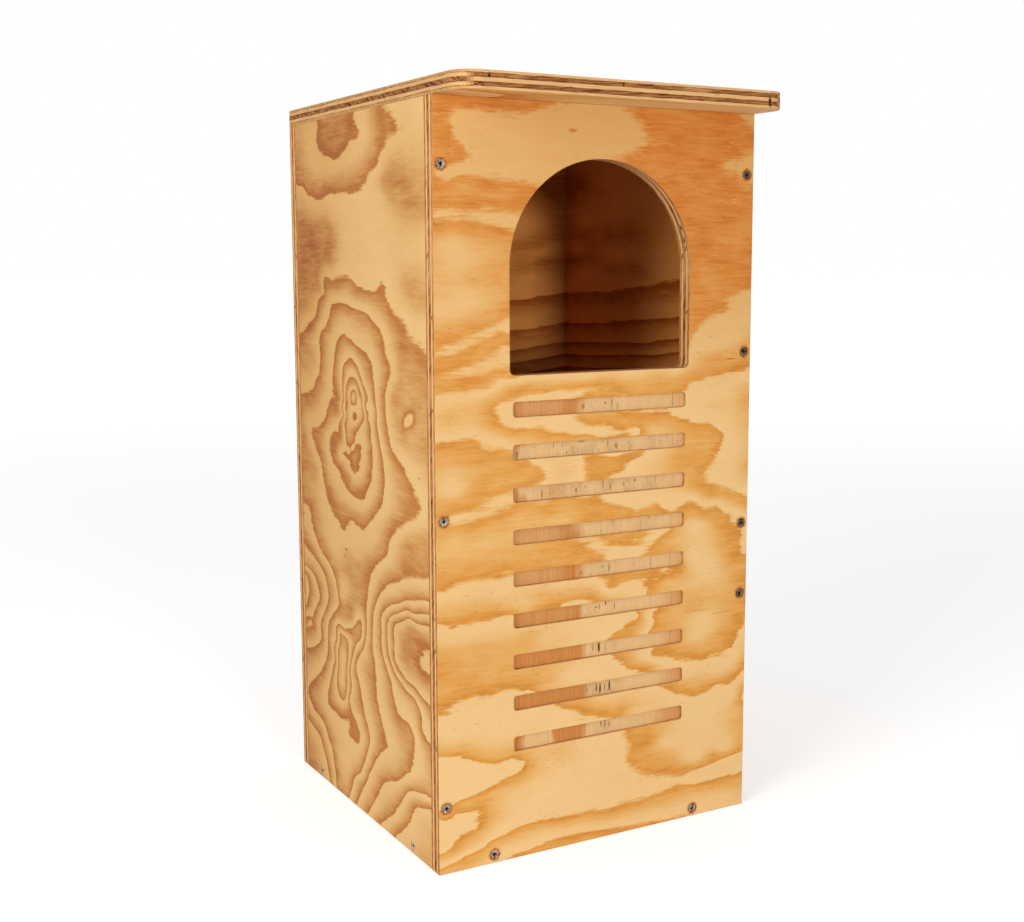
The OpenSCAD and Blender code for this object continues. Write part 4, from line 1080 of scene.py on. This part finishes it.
def end_grain(bench, given, depth, track, slant, stroke):
    """Brown end grain with dark strokes and fine ticks, and paler in slow patches and outer plies."""
    tick = bench.noise(track, (2300, 260, 0), 2.0, 0.6)
    slow = bench.noise(slant, (16, 60, 9), 2.0, 0.5)
    wood = bench.mix(bench.span(stroke, 0.46, 0.58), given["End"], given["Stroke"])
    wood = bench.mix(bench.span(tick, 0.45, 0.7, 0.0, 0.4), wood, given["Stroke"])
    wood = bench.mix(bench.span(slow, 0.52, 0.68, 0.0, 0.4), wood, given["Long"])
    outer = bench.rest(bench.within(depth, MID_DEPTH, INNER_PLIES))
    return bench.mix(bench.times(outer, given["Paled"]), wood, given["Long"])


def ply_edge():
    """Sawn or routed edge of five plies. Depth from the seen face picks the ply. A ply whose grain
    meets the edge head-on shows end grain, its strokes slanted on the sides and nearly level on the
    front, and one whose grain runs along the edge shows pale fine lines. Thin glue lines lie between
    them, Specks marks open core gaps, and Paled is how much the outer plies fade."""
    bench, given, give = group(
        "ply edge",
        vectors=("Board",),
        values=("Facing", "Specks", "Voids", "Paled"),
        colours=("Long", "End", "Stroke", "Gap"),
    )
    facing = given["Facing"]
    along, up, depth = bench.split(given["Board"])
    run = bench.blend(facing, along, up)
    track = bench.join(run, depth, 0.0)
    wavy = bench.add(depth, bench.swing(track, (30, 0, 0), 0.4 * MM, 3.0))
    cross, glue = ply_layers(bench, wavy)
    head_on = bench.span(bench.blend(cross, facing, bench.rest(facing)), 0.35, 0.65)
    slope = bench.blend(facing, 0.04, 0.42)
    bow = bench.swing(track, (70, 120, 0), 0.9 * MM, 2.0, (4, 0, 0))
    bent = bench.add(depth, bench.times(run, slope), bow)
    slant = bench.join(run, bench.times(bent, bench.blend(facing, 1.0, 0.26)), bench.times(cross, 0.3))
    stroke = bench.noise(slant, (48, 1500, 9), 3.0, 0.6, (3, 0, 0))
    line = bench.noise(track, (30, 3000, 0), 3.0, 0.6, (0, 5, 0))
    length = bench.mix(bench.span(line, 0.38, 0.72, 0.0, 0.8), given["Long"], given["End"])
    wood = bench.mix(head_on, length, end_grain(bench, given, depth, track, slant, stroke))
    glue = bench.times(glue, bench.span(bench.noise(track, (70, 300, 0), 3.0), 0.4, 0.6, 0.35, 1.0))
    wood = bench.mix(glue, wood, given["Stroke"])
    # painted shade: voids in the core plies and the open core gaps are coloured dark, as the shade inside them
    hole = bench.span(bench.noise(slant, (90, 420, 9), 1.0, 0.5, (9, 2, 0)), 0.68, 0.74)
    hole = bench.times(hole, bench.within(depth, MID_DEPTH, CORE_PLIES), given["Voids"])
    hole = bench.most(hole, given["Specks"])
    give("Colour", bench.mix(hole, wood, given["Gap"]))
    give("Roughness", bench.scaled(stroke, 0.12, 0.7))
    relief = bench.scaled(stroke, -0.6, bench.times(line, 0.4))
    give("Height", bench.scaled(hole, -1.5, bench.scaled(glue, -0.3, relief)))
    return bench.tree


# Marks on the wood


def speck():
    """One ragged mark: 1 within an ellipse of the given place and reach on the board, 0 outside it."""
    bench, given, give = group("speck", vectors=("Board", "Place", "Reach"), results=(("Mark", "Float"),))
    share = bench.vector("DIVIDE", bench.vector("SUBTRACT", given["Board"], given["Place"]), given["Reach"])
    far = bench.vector("LENGTH", share, out=1)
    far = bench.add(far, bench.swing(given["Board"], (260, 1500, 700), 0.6, 2.0))
    give("Mark", bench.span(far, 0.6, 1.15, 1.0, 0.0))
    return bench.tree


SPECK = speck()


def specks(marks):
    """A feed with every mark of the list: (strength, place and reach in mm along, across and through)."""

    def strongest(bench):
        board = bench.attribute("board", True)
        each = []
        for strength, place, reach in marks:
            feeds = {"Board": board, "Place": [v * MM for v in place], "Reach": [v * MM for v in reach]}
            each.append(bench.times(bench.use(SPECK, feeds)["Mark"], strength))
        return bench.most(*each)

    return strongest if marks else 0.0


def on_face(marks):
    """Marks on a flat face, from (strength, along, up, reach along, reach up)."""
    return [(strength, (along, up, 0.0), (reach_along, reach_up, 2.0))
            for strength, along, up, reach_along, reach_up in marks]


def on_groove_floor(marks):
    """Marks on the groove floors, whose grain runs up, from (strength, across, up, reaches the same way)."""
    deep = GROOVE_DEPTH / MM
    return [(strength, (up, across, deep), (reach_up, reach_across, 1.0))
            for strength, across, up, reach_across, reach_up in marks]


def gap_wall_shade():
    """Dark on the walls of the roof's core gaps: painted shade of the deep slots, and their dark glue."""
    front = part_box("roof_panel")[0][Y] / MM
    return [
        (1.0, ((a + b) / 2, front + deep / 2, (top + foot) / 2), ((b - a) * 1.2, deep, (foot - top) * 0.75))
        for (a, b), (top, foot), deep in ROOF_GAPS
    ]


def screw_spots(node):
    """Middle of each of a node's front screws, across and up in mm."""
    left = places_of(frame["nodes"][node].data)[:, [X, Z]] / MM
    spots = []
    while len(left):
        near = np.hypot(*(left - left[0]).T) < SCREW_ROOM
        spots.append(tuple((left[near].min(0) + left[near].max(0)) / 2))
        left = left[~near]
    return spots


# Wood finishes


def wood_finish(name, tree, bump_distance, marks, fields, feeds):
    """A wood material that reads the named fields kept on the board's mesh and has dark marks."""
    kept = {"Specks": specks(marks)}
    for label in fields:
        kept[label] = functools.partial(Bench.attribute, name=label.lower(), vector=label in VECTOR_FIELDS)
    return material(name, tree, bump_distance, kept | feeds, Specular_IOR_Level=WOOD_GLOSS)


VENEER = peeled_veneer()
BARED = bared_ply()
EDGE = ply_edge()


def veneer(name, marks=(), **tones):
    """A face veneer in its own tones."""
    feeds = {"Dashes": 1.0, "Late": 1.0, "Pitch": "7c4218"} | tones
    return wood_finish(name, VENEER, 0.22 * MM, on_face(marks), ("Board", "Figure", "Rim"), feeds)


def sawn(name, marks=(), **tones):
    """A sawn edge in its own tones."""
    # Gap colours the painted shade in voids and core gaps
    feeds = {"Voids": 0.3, "Paled": 0.5, "Gap": "241006"} | tones
    return wood_finish(name, EDGE, 0.3 * MM, marks, ("Board", "Facing"), feeds)


def bared(name, marks, **tones):
    """A groove's floor in its own tones."""
    return wood_finish(name, BARED, 0.3 * MM, on_groove_floor(marks), ("Board", "Figure", "Rim"), tones)


BRIGHT_SCREWS = ("front_left_screws", "front_floor_screws")
DULL_SCREWS = ("front_right_screws", "front_pivot_screw")
# dark rings round the front screw heads: partly stain, partly painted shade of the gap round each head
SCREW_RINGS_STAIN_AND_SHADE = [
    (1.0, across, up, SCREW_RING_REACH, SCREW_RING_REACH)
    for name in BRIGHT_SCREWS + DULL_SCREWS
    for across, up in screw_spots(name)
]
front_face = veneer("front veneer", FRONT_SPECKS + SCREW_RINGS_STAIN_AND_SHADE,
                    Pale="ebc68c", Warm="cb9a58", Orange="db9f4a", Deep="c3732f")
left_face = veneer("left veneer", LEFT_SPECKS, Late=1.15,
                   Pale="e9c283", Warm="cf9c5a", Orange="c27f38", Deep="a05a26")
pine_face = veneer("pine veneer", Pale="ebc185", Warm="deb06c", Orange="d3934c", Deep="bd763a")
inner_face = veneer("inside veneer", Pale="f2ab5e", Warm="db8738", Orange="ba6722", Deep="994a12",
                    Pitch="3a1a0a")
groove_face = bared("bared cross ply", GROOVE_SPECKS, Pale="dbb47e", Orange="bf7228", Grey="a07c54",
                    Dark="3c2012")
wall_edge = sawn("sawn wall edge", JAMB_VOIDS, Voids=0.6, Paled=0.15, Long="f2c183", End="b8763a",
                 Stroke="7a4118")
roof_edge = sawn("sawn roof edge", gap_wall_shade(), Long="e4b678", End="a86c3e", Stroke="5c2e12")


# The seven boards


def finishes(seen, far, edge=wall_edge):
    """A board's materials in the order of its slots."""
    return seen, edge, groove_face, far


make_board("front_ply", "front_panel", "box", axes=(X, Z, Y), sign=1, step=FINE,
           seen=front_seen, hidden=drifting(seed=11, rise=9.0),
           materials=finishes(front_face, inner_face))
make_board("left_ply", "left_side_panel", "box", axes=(Y, Z, X), sign=1, step=FINE,
           seen=left_seen, hidden=drifting(seed=23, rise=16.0, warm=0.4),
           materials=finishes(left_face, inner_face))
make_board("back_ply", "back_panel", "box", axes=(X, Z, Y), sign=-1, step=PLAIN,
           seen=drifting(seed=31, rise=8.0, knots=[(60, 210, 3.5, 45)]), hidden=back_inside,
           materials=finishes(pine_face, inner_face))
make_board("right_ply", "right_side_panel", "box", axes=(Y, Z, X), sign=-1, step=PLAIN,
           seen=drifting(seed=41, rise=9.0, warm=0.4, knots=[(-40, 470, 4.0, 50)]), hidden=right_inside,
           materials=finishes(pine_face, inner_face))
make_board("door_ply", "clean_out_door", "clean_out_door", axes=(Y, Z, X), sign=-1, step=PLAIN,
           seen=drifting(seed=53, rise=10.0, warm=0.3, knots=[(70, 120, 3.0, 40)]),
           hidden=drifting(seed=59, rise=14.0, warm=0.4), materials=finishes(pine_face, pine_face))
make_board("floor_ply", "floor_panel", "box", axes=(X, Y, Z), sign=-1, step=COARSE,
           seen=drifting(seed=61, rise=9.0, warm=0.4), hidden=drifting(seed=67, rise=9.0, warm=0.3),
           materials=finishes(inner_face, pine_face))
make_board("roof_ply", "roof_panel", "box", axes=(X, Y, Z), sign=-1, step=PLAIN,
           seen=drifting(seed=71, rise=8.0, knots=[(-70, 30, 4.0, 45)]),
           hidden=drifting(seed=134, rise=2.5, warm=0.3),
           materials=finishes(pine_face, pine_face, roof_edge), rounded=roof_corner, gaps=ROOF_GAPS)


# Steel


def plated_steel():
    """Zinc-plated steel: mottled grey with dull smears and fine scratches, the mottling partly plating and
    partly painted highlights and shade, and painted shade down in the recess.
    """
    bench, given, give = group(
        "plated steel", vectors=("Place",), values=("Depth",), colours=("Bright", "Dull", "Grime")
    )
    place = given["Place"]
    blotch = bench.noise(place, (420, 420, 420), 3.0, 0.6)
    scratch = bench.noise(place, (900, 5200, 2400), 2.0, 0.6)
    # the bright and dull mottling also stands in for painted highlights and shade on the heads
    metal = bench.mix(bench.span(blotch, 0.38, 0.62), given["Bright"], given["Dull"])
    # painted shade: the steel turns dark below a depth, down in a screw head's recess and where steel lies in
    # the wall
    uneven = bench.add(given["Depth"], bench.scaled(blotch, 0.5 * MM, -0.25 * MM))
    recess_shade = bench.span(uneven, 0.32 * MM, 0.55 * MM)
    give("Colour", bench.mix(recess_shade, metal, given["Grime"]))
    rough = bench.add(bench.scaled(blotch, 0.35, 0.15), bench.times(scratch, 0.2))
    give("Roughness", bench.add(rough, bench.times(recess_shade, 0.25)))
    give("Height", bench.scaled(scratch, 0.4, blotch))
    return bench.tree


STEEL = plated_steel()


def steel(name, axis, sign, zero, **tones):
    """Steel in its own tones, with painted shade below the plane at zero on the axis; sign is 1 where deeper is
    a larger coordinate."""

    def depth(bench):
        return bench.scaled(bench.split(bench.object_place())[axis], sign, -sign * zero)

    # Grime is the colour of the painted shade in recesses
    feeds = {"Place": Bench.object_place, "Depth": depth, "Bright": "cfc5b6", "Dull": "8b8073",
             "Grime": "1a0f09"}
    return material(name, STEEL, 0.05 * MM, feeds | tones, Metallic=0.8)


def finish_nodes(finish, *names):
    """Gives the nodes a material in the place of their own."""
    for name in names:
        node = frame["nodes"][name]
        node.data.materials.clear()
        node.data.materials.append(finish)


front_y, back_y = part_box("front_panel")[0][Y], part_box("back_panel")[1][Y]
left_x, right_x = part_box("left_side_panel")[0][X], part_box("right_side_panel")[1][X]
roof_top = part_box("roof_panel")[1][Z]
bright_steel = steel("bright screw steel", Y, 1, front_y, Bright="baa592", Dull="5a4433")
dull_steel = steel("dull screw steel", Y, 1, front_y, Bright="7d6a55", Dull="2c2017")
# the button's painted shade lies on its steel below the wall's face
button_steel = steel("button steel", X, -1, right_x + BUTTON_GAP,
                     Bright="c4bcb0", Dull="8f867b", Grime="3a2f27")
finish_nodes(bright_steel, *BRIGHT_SCREWS)
finish_nodes(dull_steel, *DULL_SCREWS)
finish_nodes(steel("back screw steel", Y, -1, back_y),
             "back_left_screws", "back_right_screws", "back_floor_screws", "back_pivot_screw")
finish_nodes(steel("left screw steel", X, 1, left_x), "left_floor_screws")
finish_nodes(steel("roof screw steel", Z, -1, roof_top),
             "roof_front_screws", "roof_back_screws", "roof_left_screws", "roof_right_screws")
finish_nodes(button_steel, "turn_button", "turn_button_screw")


# Floor, light and camera


def seen_directly(bench):
    """1 for rays from the camera, a mirror or glass, and 0 for the light that falls on things."""
    paths = bench.tree.nodes.new("ShaderNodeLightPath").outputs
    seen = bench.add(paths["Is Camera Ray"], paths["Is Glossy Ray"])
    return bench.maths("ADD", seen, paths["Is Transmission Ray"], clamp=True)


def floor_finish():
    """Pale and dull, lit up where it is seen directly, and more so far away."""
    made = bpy.data.materials.new("studio floor")
    made.use_nodes = True
    bench = Bench(made.node_tree)
    shader = bench.ready_made("BSDF_PRINCIPLED")
    shader.inputs["Base Color"].default_value = (0.93, 0.93, 0.93, 1)
    shader.inputs["Roughness"].default_value = 0.9
    shader.inputs["Specular IOR Level"].default_value = 0.0
    shader.inputs["Emission Color"].default_value = (1, 1, 1, 1)
    distance = bench.vector("LENGTH", bench.object_place(), out=1)
    far = bench.span(distance, GLOW_STARTS, GLOW_ENDS, FLOOR_GLOW, FAR_GLOW, smooth=True)
    made.node_tree.links.new(bench.times(seen_directly(bench), far), shader.inputs["Emission Strength"])
    return made


def studio_floor(size=40.0):
    """A wide square floor a little under the box."""
    mesh = bpy.data.meshes.new("studio_floor")
    corners = [(-size, -size, 0), (size, -size, 0), (size, size, 0), (-size, size, 0)]
    mesh.from_pydata(corners, [], [(0, 1, 2, 3)])
    mesh.materials.append(floor_finish())
    ground = placed("studio_floor", mesh)
    ground.location.z = -FLOOR_DROP


def world():
    """White all round: full white where it is seen, and a soft light on things."""
    made = bpy.data.worlds.new("studio")
    bpy.context.scene.world = made
    made.use_nodes = True
    bench = Bench(made.node_tree)
    background = bench.ready_made("BACKGROUND")
    background.inputs["Color"].default_value = (1, 1, 1, 1)
    strength = bench.blend(seen_directly(bench), WORLD_LIGHT, 1.0)
    made.node_tree.links.new(strength, background.inputs["Strength"])


def lamp(name, azimuth, rise, distance, width, watts):
    """A square soft lamp turned to the middle of the box; azimuth is from the front towards the left."""
    light = bpy.data.lights.new(name, "AREA")
    light.shape = "SQUARE"
    light.size = width
    light.energy = watts
    side, up = math.radians(azimuth), math.radians(rise)
    way = np.array((-math.sin(side) * math.cos(up), -math.cos(side) * math.cos(up), math.sin(up)))
    piece = placed(name, light)
    piece.location = way * distance + np.array((0, 0, LIT_HEIGHT))
    piece.rotation_euler = (math.pi / 2 - up, 0.0, -side)


def camera():
    """The photograph's view point: 30 degrees to the left of the front and 7.6 degrees above level."""
    data = bpy.data.cameras.new("camera")
    data.sensor_fit = "HORIZONTAL"
    data.sensor_width = 36.0
    data.lens = 49.90
    data.shift_x, data.shift_y = -0.0350, -0.0122
    data.clip_start, data.clip_end = 0.05, 50.0
    piece = placed("camera", data)
    piece.location = VIEW_POINT
    piece.rotation_euler = (math.radians(90 - VIEW_DIP), 0.0, math.radians(-VIEW_TURN))
    bpy.context.scene.camera = piece


studio_floor()
world()
lamp("key lamp", azimuth=65, rise=14, distance=3.0, width=1.3, watts=44)
lamp("front lamp", azimuth=4.6, rise=2, distance=3.2, width=0.45, watts=35)
camera()
bpy.context.scene.view_settings.view_transform = "Standard"
